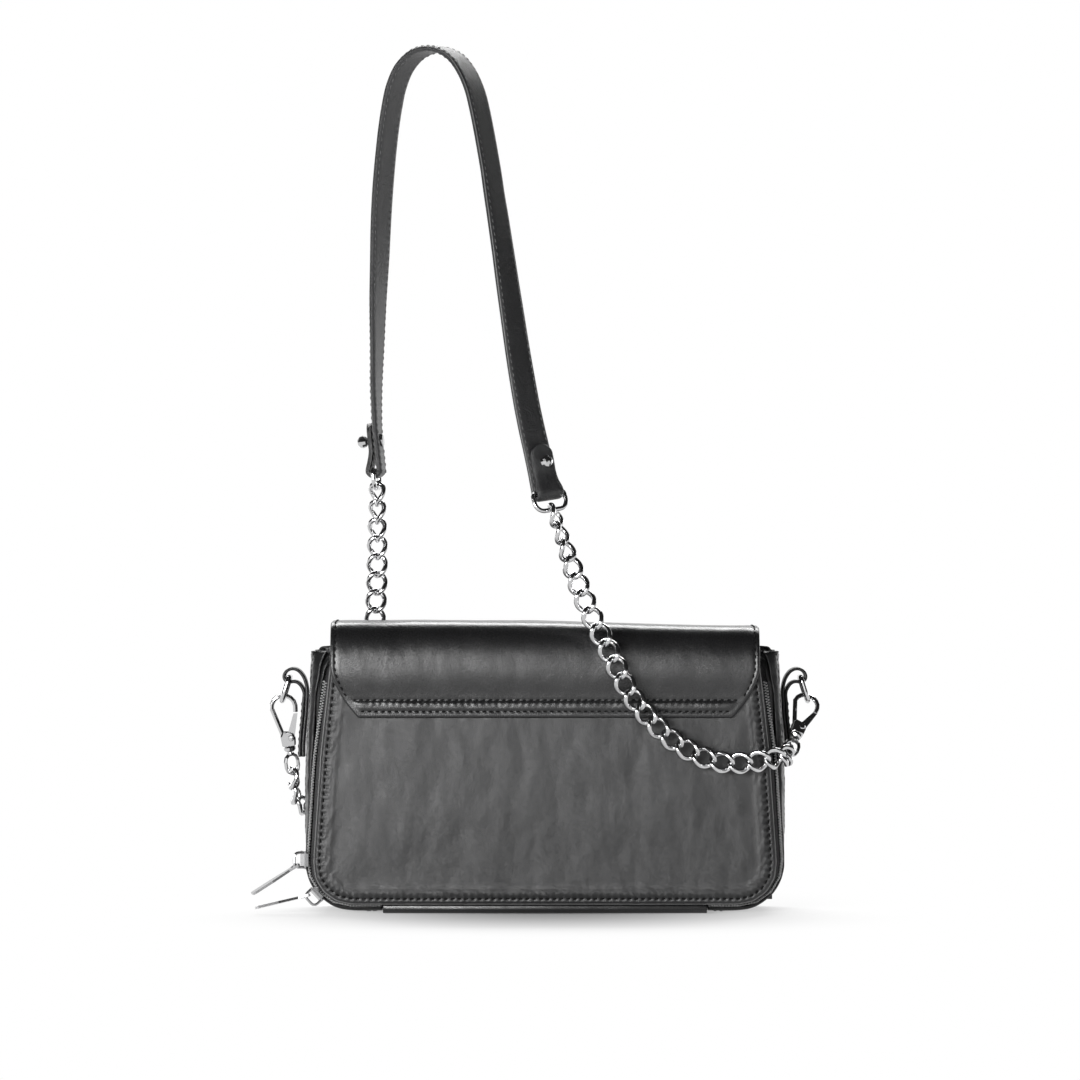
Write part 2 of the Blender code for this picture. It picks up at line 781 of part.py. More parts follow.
def make_divider():
    """The wall between the zipped section and the main pocket."""
    outline = body_outline(GUSSET_FOLD_DEPTH + LEATHER * 2, WALL_HEIGHT - LEATHER, steps=4)
    obj = plate("divider", [[(p.x, p.y) for p in outline]], DIVIDER_THICKNESS)
    stand_up(obj, (0.0, DIVIDER_Y, 0.0))
    return add_part(obj, "lining", smooth=False)


def make_lining():
    """The main pocket's sewn lining, open at the top."""
    inset = GUSSET_FOLD_DEPTH + LEATHER * 3
    top = GUSSET_HEIGHT - LEATHER * 3
    corners = [
        (-wall_half(top) + inset, top),
        (-BAG_WIDTH / 2 + inset, BASE_THICKNESS + LINING_THICKNESS),
        (BAG_WIDTH / 2 - inset, BASE_THICKNESS + LINING_THICKNESS),
        (wall_half(top) - inset, top),
    ]
    radius = BOTTOM_RADIUS - inset / 2
    path = rounded_path(corners, [0.0, radius, radius, 0.0], 4, False)
    rear = DIVIDER_Y + DIVIDER_THICKNESS / 2 + LINING_THICKNESS
    front = FRONT_FACE_Y - PANEL_THICKNESS - LINING_THICKNESS * 2
    count = len(path)
    verts = [(p.x, rear, p.y) for p in path] + [(p.x, front, p.y) for p in path]
    faces = [(n, n + 1, count + n + 1, count + n) for n in range(count - 1)]
    faces.append(tuple(range(count))[::-1])
    faces.append(tuple(range(count, 2 * count)))
    obj = mesh_object("main_lining", verts, faces)
    solidify(obj, LINING_THICKNESS)
    obj = settle(obj)
    face_out(obj)
    return add_part(obj, "lining", smooth=False)


def make_inner_pockets():
    width, height = SLIP_POCKET_SIZE
    y = DIVIDER_Y + DIVIDER_THICKNESS / 2 + LINING_THICKNESS * 1.5 + TOUCH_GAP + POCKET_THICKNESS / 2
    slip = block(
        "slip_pocket", (width, POCKET_THICKNESS, height),
        (0.0, y, SLIP_POCKET_BOTTOM_Z + height / 2),
    )
    add_part(slip, "lining", smooth=False)
    width, height = CARD_POCKET_SIZE
    y = DIVIDER_Y - DIVIDER_THICKNESS / 2 - TOUCH_GAP - POCKET_THICKNESS / 2
    card = block(
        "card_pocket", (width, POCKET_THICKNESS, height),
        (0.0, y, CARD_POCKET_BOTTOM_Z + height / 2),
    )
    add_part(card, "lining", smooth=False)


def zip_sheet(name, pick, thickness, carrier=None):
    rows = [pick(n) for n in range(len(ZIP_LINE))]
    obj = grid(name, rows)
    solidify(obj, thickness)
    obj = settle(obj)
    face_out(obj)
    return add_part(obj, "tape", carrier)


def make_zip(rear_carrier):
    """Both tapes and both rows of teeth, from the spine's left end round to its right end."""
    inner = COIL_OFFSET + COIL_RADIUS + COIL_GAP + TOUCH_GAP

    def front_row(n):
        place, front, _, _, _ = zip_frame(n)
        return [place + front * inner, place + front * TAPE_WIDTH]

    def rear_row(n):
        place, _, rear, _, rear_end = zip_frame(n)
        return [place + rear * inner, rear_end]

    def beads(name, way, carrier):
        line = [zip_frame(n)[0] + zip_frame(n)[way] * COIL_OFFSET for n in range(len(ZIP_LINE))]
        obj = wire(name, line, COIL_RADIUS)
        return add_part(obj, "coil", carrier)

    zip_sheet("zip_tape_front", front_row, TAPE_THICKNESS)
    zip_sheet("zip_tape_rear", rear_row, TAPE_THICKNESS, rear_carrier)
    beads("zip_coil_front", 1, None)
    beads("zip_coil_rear", 2, rear_carrier)


def make_spine():
    """The leather strip under the back edge that both zip ends are sewn into."""
    mid = SPINE_THICKNESS / 2
    y_back = BACK_FACE_Y + mid
    y_front = TAPE_FRONT_Y - TOUCH_GAP
    half = SPINE_HALF - TOUCH_GAP - COIL_RADIUS
    top = PANEL_BOTTOM_Z - TOUCH_GAP
    profile = [
        (y_back, top), (y_back, mid + LEATHER), (y_back + LEATHER, mid),
        (y_front, mid),
    ]
    rows = [[Vector((x, y, z)) for y, z in profile] for x in (-half, half)]
    obj = grid("bottom_spine", rows)
    solidify(obj, SPINE_THICKNESS)
    obj = settle(obj)
    face_out(obj)
    return add_part(obj, "leather")


# the flap's section from its sewn rear end over the top to its front end:
# forward in shares of the bag's half depth, up in shares of the flap's height
FLAP_REAR_SHARES = [
    (-1.130, 0.668), (-1.134, 0.700), (-1.134, 0.740), (-1.132, 0.790),
    (-1.126, 0.850), (-1.114, 0.905), (-1.096, 0.936),
]
FLAP_COVER_SHARES = [
    (-1.088, 0.945), (-1.050, 0.968), (-0.985, 0.983), (-0.860, 0.992),
    (-0.55, 0.993), (0.0, 0.993), (0.50, 0.992), (0.80, 0.985), (0.98, 0.968),
    (1.070, 0.937), (1.098, 0.880), (1.104, 0.740), (1.104, 0.600), (1.102, 0.480),
    (1.100, 0.420), (1.098, 0.370), (1.096, 0.325), (1.095, 0.300), (1.094, 0.2857),
]


def flap_half(z, end_z, corner, tip_half):
    """Half the flap's width near one of its ends, where the corners are cut round."""
    t = min(max((z - end_z) / corner, 0.0), 1.0)
    return tip_half + (FLAP_HALF - tip_half) * math.sqrt(1 - (1 - t) ** 2.2)


def flap_sheet(name, shares, end_z, corner, tip_half, carrier):
    columns = [-1.0, -0.97, -0.6, 0.0, 0.6, 0.97, 1.0]
    half_depth = BAG_DEPTH / 2
    rows = []
    for y_share, z_share in shares:
        y, z = y_share * half_depth, z_share * FLAP_TOP_Z
        half = flap_half(z, end_z, corner, tip_half)
        rows.append([Vector((c * half, y, z)) for c in columns])
    obj = grid(name, rows)
    solidify(obj, FLAP_THICKNESS)
    obj = settle(obj)
    face_out(obj)
    return add_part(obj, "leather", carrier)


def make_flap(rear_carrier, flap_carrier):
    flap_sheet(
        "flap_rear_end", FLAP_REAR_SHARES, FLAP_REAR_END_Z,
        FLAP_REAR_CORNER, FLAP_REAR_TIP_HALF, rear_carrier,
    )
    flap_sheet(
        "flap_cover", FLAP_COVER_SHARES, FLAP_FRONT_END_Z,
        FLAP_FRONT_CORNER, FLAP_FRONT_TIP_HALF, flap_carrier,
    )


def frame_at(origin, right, up):
    """A frame whose X is right and whose Z is up, as nearly as the two ways allow."""
    x = Vector(right).normalized()
    z = (Vector(up) - x * Vector(up).dot(x)).normalized()
    y = z.cross(x)
    turn = Matrix((x, y, z)).transposed().to_4x4()
    return Matrix.Translation(origin) @ turn


def arc_points(centre, radius, start, end, steps):
    """Points on an arc in the XZ plane, by angle in degrees from +X towards +Z."""
    made = []
    for k in range(steps + 1):
        turn = math.radians(start + (end - start) * k / steps)
        made.append(Vector((centre[0] + radius * math.cos(turn), 0.0, centre[1] + radius * math.sin(turn))))
    return made


def d_ring(name, wire_size, inner_width, depth, corner):
    """A bent wire ring: its straight bar lies along X at the origin, its bow hangs in -Z."""
    half = (inner_width + wire_size) / 2
    corners = [(-half, 0.0), (-half, -depth), (half, -depth), (half, 0.0)]
    small = wire_size
    path = rounded_path(corners, [small, corner, corner, small], 3, True)
    return wire(name, [Vector((p.x, 0.0, p.y)) for p in path], wire_size / 2, closed=True, resolution=1)


def slider_frame(n, share):
    """The slider's frame on the zip: X across, Z along it, Y into the bag."""
    before, a, b, after = ZIP_LINE[n - 1:n + 3]
    place = a.lerp(b, share)
    frames = [zip_frame(m) for m in (n, n + 1)]
    front = frames[0][1].lerp(frames[1][1], share)
    rear = frames[0][2].lerp(frames[1][2], share)
    across = (rear - front).normalized()
    run = (b - before).lerp(after - a, share)
    along = Vector((run.x, 0.0, run.y)).normalized()
    return frame_at((place.x, ZIP_Y, place.y), across, along), along


def make_slider(name, place, carrier):
    """The slider's two plates, the post between the coils, its side lips and its bail."""
    length, width = SLIDER_LENGTH, SLIDER_WIDTH
    post_length, post_width = SLIDER_POST
    outer_y = -(SLIDER_HEADROOM + SLIDER_PLATE / 2)
    body = block(name, (width, SLIDER_PLATE, length), (0.0, outer_y, 0.0))
    bevel(body, SLIDER_PLATE * 0.3)
    body = settle(body)
    lip_depth = SLIDER_HEADROOM - TAPE_THICKNESS / 2 - TOUCH_GAP
    overlap = SLIDER_PLATE / 2
    for side in (-1.0, 1.0):
        x = side * (width / 2 - SLIDER_PLATE / 2)
        y = -SLIDER_HEADROOM + lip_depth / 2 - overlap / 2
        lip = block("lip", (SLIDER_PLATE * 0.9, lip_depth + overlap, length * 0.7), (x, y, 0.0))
        join(body, lip)
    post = block(
        "post", (post_width, SLIDER_HEADROOM + SLIDER_INNER_ROOM + SLIDER_PLATE, post_length),
        (0.0, (SLIDER_INNER_ROOM - SLIDER_HEADROOM) / 2, length / 2 - post_length),
    )
    join(body, post)
    inner = block(
        "inner_plate", (SLIDER_INNER_WIDTH, SLIDER_PLATE * 0.8, length * 0.9),
        (0.0, SLIDER_INNER_ROOM + SLIDER_PLATE * 0.4, 0.0),
    )
    join(body, inner)
    half = BAIL_LENGTH / 2
    top = outer_y - BAIL_HEIGHT
    foot = outer_y
    bend = BAIL_HEIGHT * 0.45
    path = rounded_path([(-half, foot), (-half, top), (half, top), (half, foot)], [0.0, bend, bend, 0.0], 3, False)
    bail = wire("bail", [Vector((0.0, p.y, p.x)) for p in path], BAIL_WIRE / 2)
    join(body, bail)
    body = settle(body)
    body.matrix_world = place @ body.matrix_world
    return add_part(body, "steel", carrier)


def make_pull(name, place, hang, carrier):
    """A flat pull whose eye is threaded on the bail and whose bar hangs along hang."""
    half = PULL_WIDTH / 2
    eye = PULL_HOLE / 2 + PULL_THICKNESS * 0.7
    end = PULL_LENGTH - eye
    neck = half * 0.62
    outline = [(p.x, p.z) for p in arc_points((0.0, 0.0), eye, 150.0, 30.0, 6)]
    outline += [(neck, -eye * 1.3), (half, -end * 0.55), (half, -end + half * 0.5), (half * 0.7, -end)]
    outline += [(-half * 0.7, -end), (-half, -end + half * 0.5), (-half, -end * 0.55), (-neck, -eye * 1.3)]
    hole = [(p.x, p.z) for p in arc_points((0.0, 0.0), PULL_HOLE / 2, 0.0, 315.0, 7)]
    bar = plate(name, [outline, hole], PULL_THICKNESS)
    bar.data.transform(Matrix.Rotation(PI / 2, 4, "X"))
    bar.matrix_world = frame_at(place, hang[0], hang[1])
    return add_part(bar, "steel", carrier)


def make_tab(name, side):
    """A doubled leather strip sewn to the side wall, looped round the ring's bar."""
    wall = wall_half(TAB_BOTTOM_Z) + TOUCH_GAP * 2
    split_wall = wall_half(TAB_SPLIT_Z) + TOUCH_GAP * 2
    thick = TAB_THICKNESS
    bend = EYE_OUTER
    corners = [
        (wall, TAB_BOTTOM_Z), (split_wall, TAB_SPLIT_Z),
        (split_wall + thick * 0.9, EYE_Z - EYE_OUTER * 0.4),
    ]
    radii = [0.0, bend * 2.0, bend * 1.2]
    path = rounded_path(corners + [(EYE_X - bend * 0.5, EYE_Z + bend * 0.87)], radii + [0.0], 3, False)
    around = arc_points((EYE_X, EYE_Z), EYE_OUTER, 112.0, -78.0, 7)
    path += [Vector((p.x, p.z)) for p in around]
    back = rounded_path(
        [
            (around[-1].x, around[-1].z),
            (split_wall + thick * 1.1, TAB_SPLIT_Z + bend * 0.6),
            (wall + thick, TAB_BOTTOM_Z),
        ],
        [0.0, bend * 1.4, 0.0], 3, False,
    )
    path += back[1:]
    hole = [(p.x, p.z) for p in arc_points((EYE_X, EYE_Z), EYE_RADIUS, 0.0, 324.0, 9)]
    obj = plate(name, [[(p[0], p[1]) for p in path], hole], TAB_WIDTH)
    stand_up(obj, (0.0, TAB_Y, 0.0))
    if side < 0:
        obj.data.transform(Matrix.Diagonal((-1.0, 1.0, 1.0, 1.0)))
        face_out(obj)
    return add_part(obj, "leather")


def ring_place(side):
    """The side ring's bar in the tab's loop, and the way its bow hangs."""
    lean = math.radians(RING_TILT)
    down = Vector((side * math.sin(lean), 0.0, -math.cos(lean)))
    drop = EYE_RADIUS - RING_WIRE / 2 - SEAT_GAP
    at = Vector((side * EYE_X, TAB_Y, EYE_Z)) + down * drop
    return at, down


def make_side_ring(name, side, carrier):
    at, down = ring_place(side)
    obj = d_ring(name, RING_WIRE, RING_WIDTH, RING_DEPTH, RING_CORNER)
    obj.matrix_world = frame_at(at, (0.0, side, 0.0), -down)
    return add_part(obj, "steel", carrier)


def hook_frame(side):
    """The hook's frame: its origin at the collar, Z up its middle, X towards its gate."""
    at, down = ring_place(side)
    lean, fore = HOOK_LEAN_LEFT if side < 0 else HOOK_LEAN_RIGHT
    lean, fore = math.radians(lean), math.radians(fore)
    up = Vector((math.sin(lean) * math.cos(fore), math.sin(fore), math.cos(lean) * math.cos(fore)))
    right = Vector((math.cos(lean), 0.0, -math.sin(lean)))
    bow_low = at + down * RING_DEPTH
    seat = Vector((math.sin(lean), 0.0, math.cos(lean))) * ((RING_WIRE + HOOK_WIRE) / 2 + SEAT_GAP)
    origin = bow_low + seat - up * (HOOK_BOW_HEIGHT + HOOK_BOW_RADIUS)
    return frame_at(origin, right, up), bow_low


def make_hook(name, place, carrier):
    """The bent hook with its cast base, slotted for the gate, and the collar below."""
    wire_half = HOOK_WIRE / 2
    height = HOOK_BOW_HEIGHT
    bow = arc_points((0.0, height), HOOK_BOW_RADIUS, 180.0, 0.0, 8)
    nose = Vector((HOOK_BOW_RADIUS - HOOK_NOSE_DROP * 0.1, 0.0, height - HOOK_NOSE_DROP))
    foot = Vector((-HOOK_BASE_HALF * 0.55, 0.0, HOOK_BASE_HEIGHT * 0.55))
    obj = wire("arm", [foot] + bow + [nose], wire_half, resolution=2)
    half, tall = HOOK_BASE_HALF, HOOK_BASE_HEIGHT
    outline = [
        (-half, 0.0), (half, 0.0), (half * 1.12, tall * 0.55), (half * 0.85, tall),
        (-half * 0.75, tall * 1.12), (-half * 1.1, tall * 0.8),
    ]
    base = plate(name, [outline[::-1]], HOOK_THICKNESS)
    base.data.transform(Matrix.Rotation(PI / 2, 4, "X"))
    bevel(base, wire_half * 0.6)
    base = settle(base)
    collar = turned("collar", [
        (0.0, WELD), (COLLAR_RADIUS * 0.8, WELD), (COLLAR_RADIUS, -COLLAR_DROP * 0.3),
        (COLLAR_RADIUS, -COLLAR_DROP * 0.75), (COLLAR_RADIUS * 0.8, -COLLAR_DROP), (0.0, -COLLAR_DROP),
    ], 12)
    collar.data.transform(Matrix.Translation((0.0, 0.0, wire_half * 0.4)))
    join(base, collar)
    join(base, obj)
    slot_low = COLLAR_RADIUS * 0.25
    slot = block(
        "slot", (half * 2 + CUT_OVERRUN * 2, SLOT_WIDTH, tall),
        (half - wire_half + CUT_OVERRUN, 0.0, slot_low + tall / 2),
    )
    slot_shift = half + CUT_OVERRUN - half * 0.48
    slot.matrix_world = Matrix.Translation((slot_shift, 0.0, slot_low + tall / 2))
    cut(base, slot)
    bore = cylinder("bore", STEM_BORE, COLLAR_DROP * 2 + CUT_OVERRUN, (0.0, 0.0, -COLLAR_DROP + slot_low / 2), "Z", 12)
    cut(base, bore)
    rivet_hole = cylinder("rivet_hole", RIVET_RADIUS + SEAT_GAP, HOOK_THICKNESS + CUT_OVERRUN, (RIVET_X, 0.0, RIVET_Z), "Y", 10)
    cut(base, rivet_hole)
    base = settle(base)
    base.matrix_world = place @ base.matrix_world
    return add_part(base, "steel", carrier)


def make_gate(name, place, carrier):
    """The sprung gate: a flat tongue with a round knuckle on the rivet."""
    gap = TOUCH_GAP * 3
    nose_low = HOOK_BOW_HEIGHT - HOOK_NOSE_DROP - gap
    half = GATE_WIDTH / 2
    top_x = HOOK_BOW_RADIUS - HOOK_NOSE_DROP * 0.15
    knuckle = RIVET_RADIUS + GATE_WIDTH * 0.6
    outline = [(top_x + half, nose_low), (top_x - half, nose_low)]
    turn = [(p.x, p.z) for p in arc_points((RIVET_X, RIVET_Z), knuckle, 160.0, 380.0, 7)]
    outline += turn
    hole = [(p.x, p.z) for p in arc_points((RIVET_X, RIVET_Z), RIVET_RADIUS + SEAT_GAP, 0.0, 324.0, 9)]
    obj = plate(name, [outline, hole], SLOT_WIDTH - 2 * TOUCH_GAP)
    obj.data.transform(Matrix.Rotation(PI / 2, 4, "X"))
    obj.matrix_world = place @ obj.matrix_world
    return add_part(obj, "steel", carrier)


def make_rivet(name, place, carrier):
    """The gate's rivet, with a domed head on each side of the base."""
    reach = HOOK_THICKNESS / 2 + SEAT_GAP
    tip = RIVET_HEAD * 0.35
    profile = [
        (0.0, reach + tip), (RIVET_HEAD * 0.8, reach + tip * 0.6), (RIVET_HEAD, reach),
        (RIVET_RADIUS, reach), (RIVET_RADIUS, -reach), (RIVET_HEAD, -reach),
        (RIVET_HEAD * 0.8, -reach - tip * 0.6), (0.0, -reach - tip),
    ]
    obj = turned(name, profile, 10)
    obj.data.transform(Matrix.Translation((RIVET_X, 0.0, RIVET_Z)) @ Matrix.Rotation(PI / 2, 4, "X"))
    obj.matrix_world = place @ obj.matrix_world
    return add_part(obj, "steel", carrier)


def eyelet_middle(place):
    """The middle of the low bow of the swivel's eyelet."""
    low = COLLAR_DROP + TOUCH_GAP + EYELET_LENGTH - EYELET_WIRE / 2
    return place @ Vector((0.0, 0.0, -low))


def make_swivel(name, place, carrier, turn):
    """The eyelet that the chain hangs from, its stem through the collar and its peened head."""
    top = -COLLAR_DROP - TOUCH_GAP
    half = (EYELET_WIDTH - EYELET_WIRE) / 2
    length = EYELET_LENGTH
    centre_high = top - half - EYELET_WIRE / 2
    centre_low = top - length + half + EYELET_WIRE / 2
    path = arc_points((0.0, centre_high), half, 0.0, 180.0, 5)
    path += arc_points((0.0, centre_low), half, 180.0, 360.0, 5)
    ring = wire("ring", path, EYELET_WIRE / 2, closed=True, resolution=1)
    slot_low = COLLAR_RADIUS * 0.25
    head_low = slot_low + SEAT_GAP
    stem = turned("stem", [
        (0.0, head_low + STEM_HEAD * 0.5), (STEM_HEAD, head_low + STEM_HEAD * 0.35), (STEM_HEAD, head_low),
        (STEM_RADIUS, head_low), (STEM_RADIUS, top + WELD), (STEM_HEAD * 1.5, top),
        (STEM_HEAD * 1.5, top - EYELET_WIRE * 0.5), (0.0, top - EYELET_WIRE * 0.9),
    ], 10)
    stem.name = name
    join(stem, ring)
    stem = settle(stem)
    stem.matrix_world = place @ Matrix.Rotation(math.radians(turn), 4, "Z")
    return add_part(stem, "steel", carrier)


def strap_turn(share):
    """The strap's width direction, level all along, at a share of its length."""
    low, high = STRAP_TWIST_SHARES
    if share < low:
        turn = STRAP_TURN_LEFT + (STRAP_TURN_TOP - STRAP_TURN_LEFT) * smooth_step(share / low)
    else:
        turn = STRAP_TURN_TOP
        turn += (STRAP_TURN_RIGHT - STRAP_TURN_TOP) * smooth_step((share - high) / (1 - high))
    turn = math.radians(turn)
    return Vector((math.sin(turn), math.cos(turn), 0.0))


def strap_route():
    points = [
        (x * STRAP_SPREAD_X, y * STRAP_SPREAD_Y, STRAP_LOW_Z + z * STRAP_LOOP_HEIGHT)
        for x, y, z in STRAP_ROUTE_SHARES
    ]
    return smooth_route(points, STRAP_STATIONS)


FOLD_RADIUS = STRAP_RING_WIRE / 2 + 2 * SEAT_GAP + STRAP_THICKNESS / 2
TONGUE_OFFSET = STRAP_THICKNESS + TOUCH_GAP


def strap_end(route, last):
    """The frame at one end: its place, the way up the strap, its width and the tongue's side."""
    at = route[-1] if last else route[0]
    after = route[-2] if last else route[1]
    up = (after - at).normalized()
    wide = strap_turn(1.0 if last else 0.0)
    wide = (wide - up * wide.dot(up)).normalized()
    out = wide.cross(up) if last else -wide.cross(up)
    if (last and out.y > 0) or (not last and out.x > 0):
        out = -out
    return at, up, wide, out


def fold_path(end):
    """The strap's folded end: down round the ring's bar and up again as the tongue."""
    at, up, _, out = end
    middle = at + out * FOLD_RADIUS
    path = []
    for k in range(1, FOLD_STATIONS):
        turn = PI * k / FOLD_STATIONS
        path.append(middle - out * FOLD_RADIUS * math.cos(turn) - up * FOLD_RADIUS * math.sin(turn))
    merge = FOLD_RADIUS * 3
    for k in range(FOLD_STATIONS):
        rise = (TONGUE_LENGTH - FOLD_RADIUS) * k / (FOLD_STATIONS - 1)
        drift = 2 * FOLD_RADIUS + (TONGUE_OFFSET - 2 * FOLD_RADIUS) * smooth_step(rise / merge)
        path.append(at + up * rise + out * drift)
    return path


def strap_section(place, along, wide, taper=1.0):
    thick = along.cross(wide).normalized()
    half_w, half_t = STRAP_WIDTH / 2 * taper, STRAP_THICKNESS / 2
    chamfer = STRAP_THICKNESS * 0.27
    corners = [
        (half_w, half_t - chamfer), (half_w - chamfer, half_t),
        (-half_w + chamfer, half_t), (-half_w, half_t - chamfer),
        (-half_w, -half_t + chamfer), (-half_w + chamfer, -half_t),
        (half_w - chamfer, -half_t), (half_w, -half_t + chamfer),
    ]
    return [place + wide * a + thick * b for a, b in corners]


def make_strap(carrier):
    """The leather strap: one band whose two ends fold round the rings and lie back on it."""
    route = strap_route()
    left, right = strap_end(route, False), strap_end(route, True)
    path = fold_path(left)[::-1] + route + fold_path(right)
    head = len(fold_path(left))
    rings = []
    for n, place in enumerate(path):
        before, after = path[max(n - 1, 0)], path[min(n + 1, len(path) - 1)]
        along = (after - before).normalized()
        share = (n - head) / (len(route) - 1)
        wide = strap_turn(min(max(share, 0.0), 1.0))
        if share < 0:
            wide = left[2]
        if share > 1:
            wide = right[2]
        wide = (wide - along * wide.dot(along)).normalized()
        tip = min(n, len(path) - 1 - n)
        taper = (0.62, 0.92)[tip] if tip < 2 else 1.0
        rings.append(strap_section(place, along, wide, taper))
    side = len(rings[0])
    verts = [v for ring in rings for v in ring]
    faces = []
    for r in range(len(rings) - 1):
        for k in range(side):
            after = (k + 1) % side
            faces.append((r * side + k, r * side + after, (r + 1) * side + after, (r + 1) * side + k))
    faces.append(tuple(range(side))[::-1])
    faces.append(tuple((len(rings) - 1) * side + k for k in range(side)))
    obj = mesh_object("strap", verts, faces)
    face_out(obj)
    for end in (left, right):
        at, up, wide, out = end
        hole = cylinder("stud_hole", STUD_POST + SEAT_GAP, TONGUE_OFFSET * 4, (0.0, 0.0, 0.0), "Z", 12)
        hole.matrix_world = frame_at(at + up * STUD_LIFT + out * TONGUE_OFFSET / 2, wide, out)
        cut(obj, hole)
    obj = settle(obj)
    add_part(obj, "leather", carrier)
    return left, right


def make_stud(name, end, carrier):
    """A screw stud: its flange inside the strap, its post through both layers, its domed head."""
    at, up, wide, out = end
    inner = -(STRAP_THICKNESS / 2 + TOUCH_GAP)
    outer = TONGUE_OFFSET + STRAP_THICKNESS / 2 + SEAT_GAP
    head = STUD_HEAD
    profile = [
        (0.0, outer + head * 1.75), (head * 0.5, outer + head * 1.66), (head * 0.87, outer + head * 1.35),
        (head, outer + head * 0.9), (head * 0.85, outer + head * 0.42), (STUD_POST, outer + head * 0.12),
        (STUD_POST, inner), (STUD_FLANGE, inner),
        (STUD_FLANGE, inner - STUD_FLANGE_THICKNESS * 0.6),
        (STUD_FLANGE * 0.8, inner - STUD_FLANGE_THICKNESS), (0.0, inner - STUD_FLANGE_THICKNESS),
    ]
    obj = turned(name, profile, 12)
    obj.matrix_world = frame_at(at + up * STUD_LIFT, wide, out)
    return add_part(obj, "steel", carrier)


def strap_ring_place(end, swing):
    """The strap ring's bar in the fold, and the way its bow hangs."""
    at, up, wide, out = end
    turn = math.radians(swing)
    down = -up * math.cos(turn) + out * math.sin(turn)
    return at + out * FOLD_RADIUS, wide, down


def make_strap_ring(name, ring_place_, carrier):
    at, wide, down = ring_place_
    obj = d_ring(name, STRAP_RING_WIRE, STRAP_RING_WIDTH, STRAP_RING_DEPTH, RING_CORNER)
    obj.matrix_world = frame_at(at, wide, -down)
    return add_part(obj, "steel", carrier)


def chain_route(start, mids, end):
    """The run's links: places a pitch apart on a route that sags as far as its length asks."""
    pitch = LINK_LENGTH - 2 * LINK_WIRE + LINK_BITE
    need = pitch * (LINK_COUNT - 1)
    low, high = -LINK_LENGTH * 3, LINK_LENGTH * 3
    for _ in range(40):
        sag = (low + high) / 2
        points = [start]
        for n, mid in enumerate(mids):
            share = (n + 1) / (len(mids) + 1)
            points.append(mid - Vector((0.0, 0.0, sag * math.sin(PI * share) ** 2)))
        points.append(end)
        dense = smooth_route(points, LINK_COUNT * 12)
        if route_length(dense) < need:
            low = sag
        else:
            high = sag
    return even_points(dense, LINK_COUNT)


def link_points(place, along, flat):
    """One twisted link: an oval whose sides lie flat and whose ends turn to pass each other."""
    half_l = (LINK_LENGTH - LINK_WIRE) / 2
    half_w = (LINK_WIDTH - LINK_WIRE) / 2
    side = flat.cross(along).normalized()
    made = []
    for k in range(LINK_POINTS):
        turn = 2 * PI * k / LINK_POINTS
        c, s = math.cos(turn), math.sin(turn)
        lean = math.radians(LINK_TWIST) * c
        across = side * math.cos(lean) + flat * math.sin(lean)
        made.append(place + along * (half_l * c) + across * (half_w * s))
    return made


def make_chain(name, links, flats):
    """A run of curb links, each bearing on the next, joined at the bearings."""
    odd, even = [], []
    for n, place in enumerate(links):
        before, after = links[max(n - 1, 0)], links[min(n + 1, len(links) - 1)]
        along = (after - before).normalized()
        flat = flats(n / (len(links) - 1))
        flat = (flat - along * flat.dot(along)).normalized()
        loop = wire("link", link_points(place, along, flat), LINK_WIRE / 2, closed=True, resolution=1)
        (odd if n % 2 else even).append(loop)
    merged = []
    for label, loops in ((name, even), ("other_links", odd)):
        work = bmesh.new()
        for loop in loops:
            mesh = loop.data.copy()
            mesh.transform(loop.matrix_world)
            work.from_mesh(mesh)
            bpy.data.objects.remove(loop, do_unlink=True)
        mesh = bpy.data.meshes.new(label)
        work.to_mesh(mesh)
        work.free()
        obj = bpy.data.objects.new(label, mesh)
        PURSE.objects.link(obj)
        merged.append(obj)
    join(merged[0], merged[1])
    obj = settle(merged[0])
    return add_part(obj, "steel")


def make_bag():
    rear = pivot("rear_panel_hinge", (0.0, REAR_HINGE_Y, REAR_HINGE_Z))
    flap = pivot("flap_hinge", (0.0, BACK_FACE_Y, FLAP_HINGE_Z), rear)
    make_back_panel(rear)
    make_front_panel()
    make_side_wall("side_wall_left", -1.0)
    make_side_wall("side_wall_right", 1.0)
    make_base_panel()
    make_divider()
    make_lining()
    make_inner_pockets()
    make_zip(rear)
    make_spine()
    make_flap(rear, flap)


def make_sliders():
    """Both sliders, parked at the lower left corner, with their pulls."""
    upper = next(n for n, p in enumerate(ZIP_LINE) if p.y <= UPPER_SLIDER_Z < ZIP_LINE[n + 1].y)
    a, b = ZIP_LINE[upper], ZIP_LINE[upper + 1]
    places = {
        "upper": (upper, (UPPER_SLIDER_Z - a.y) / (b.y - a.y), UPPER_PULL_TILT, -1.0),
        "lower": (1 + RING_STEPS // 2, 0.0, LOWER_PULL_TILT, 1.0),
    }
    for word, (n, share, tilt, bail_end) in places.items():
        frame, _ = slider_frame(n, share)
        body = pivot("slider_pivot_" + word, frame.translation)
        make_slider("slider_" + word, frame, body)
        bend = BAIL_HEIGHT * 0.45
        inset = bend * (1 - math.sqrt(0.5))
        top = -(SLIDER_HEADROOM + SLIDER_PLATE / 2) - BAIL_HEIGHT
        corner = frame @ Vector((0.0, top + inset, bail_end * (BAIL_LENGTH / 2 - inset)))
        turn = math.radians(tilt)
        wide = frame.to_3x3() @ Vector((1.0, 0.0, 0.0))
        hang = Vector((-math.cos(turn), 0.0, -math.sin(turn)))
        hang = (hang - wide * hang.dot(wide)).normalized()
        slack = (PULL_HOLE - BAIL_WIRE) * PULL_SLACK_SHARE
        at = corner + hang * slack
        swing = pivot("pull_pivot_" + word, corner, body)
        make_pull("pull_" + word, at, (wide, -hang), swing)


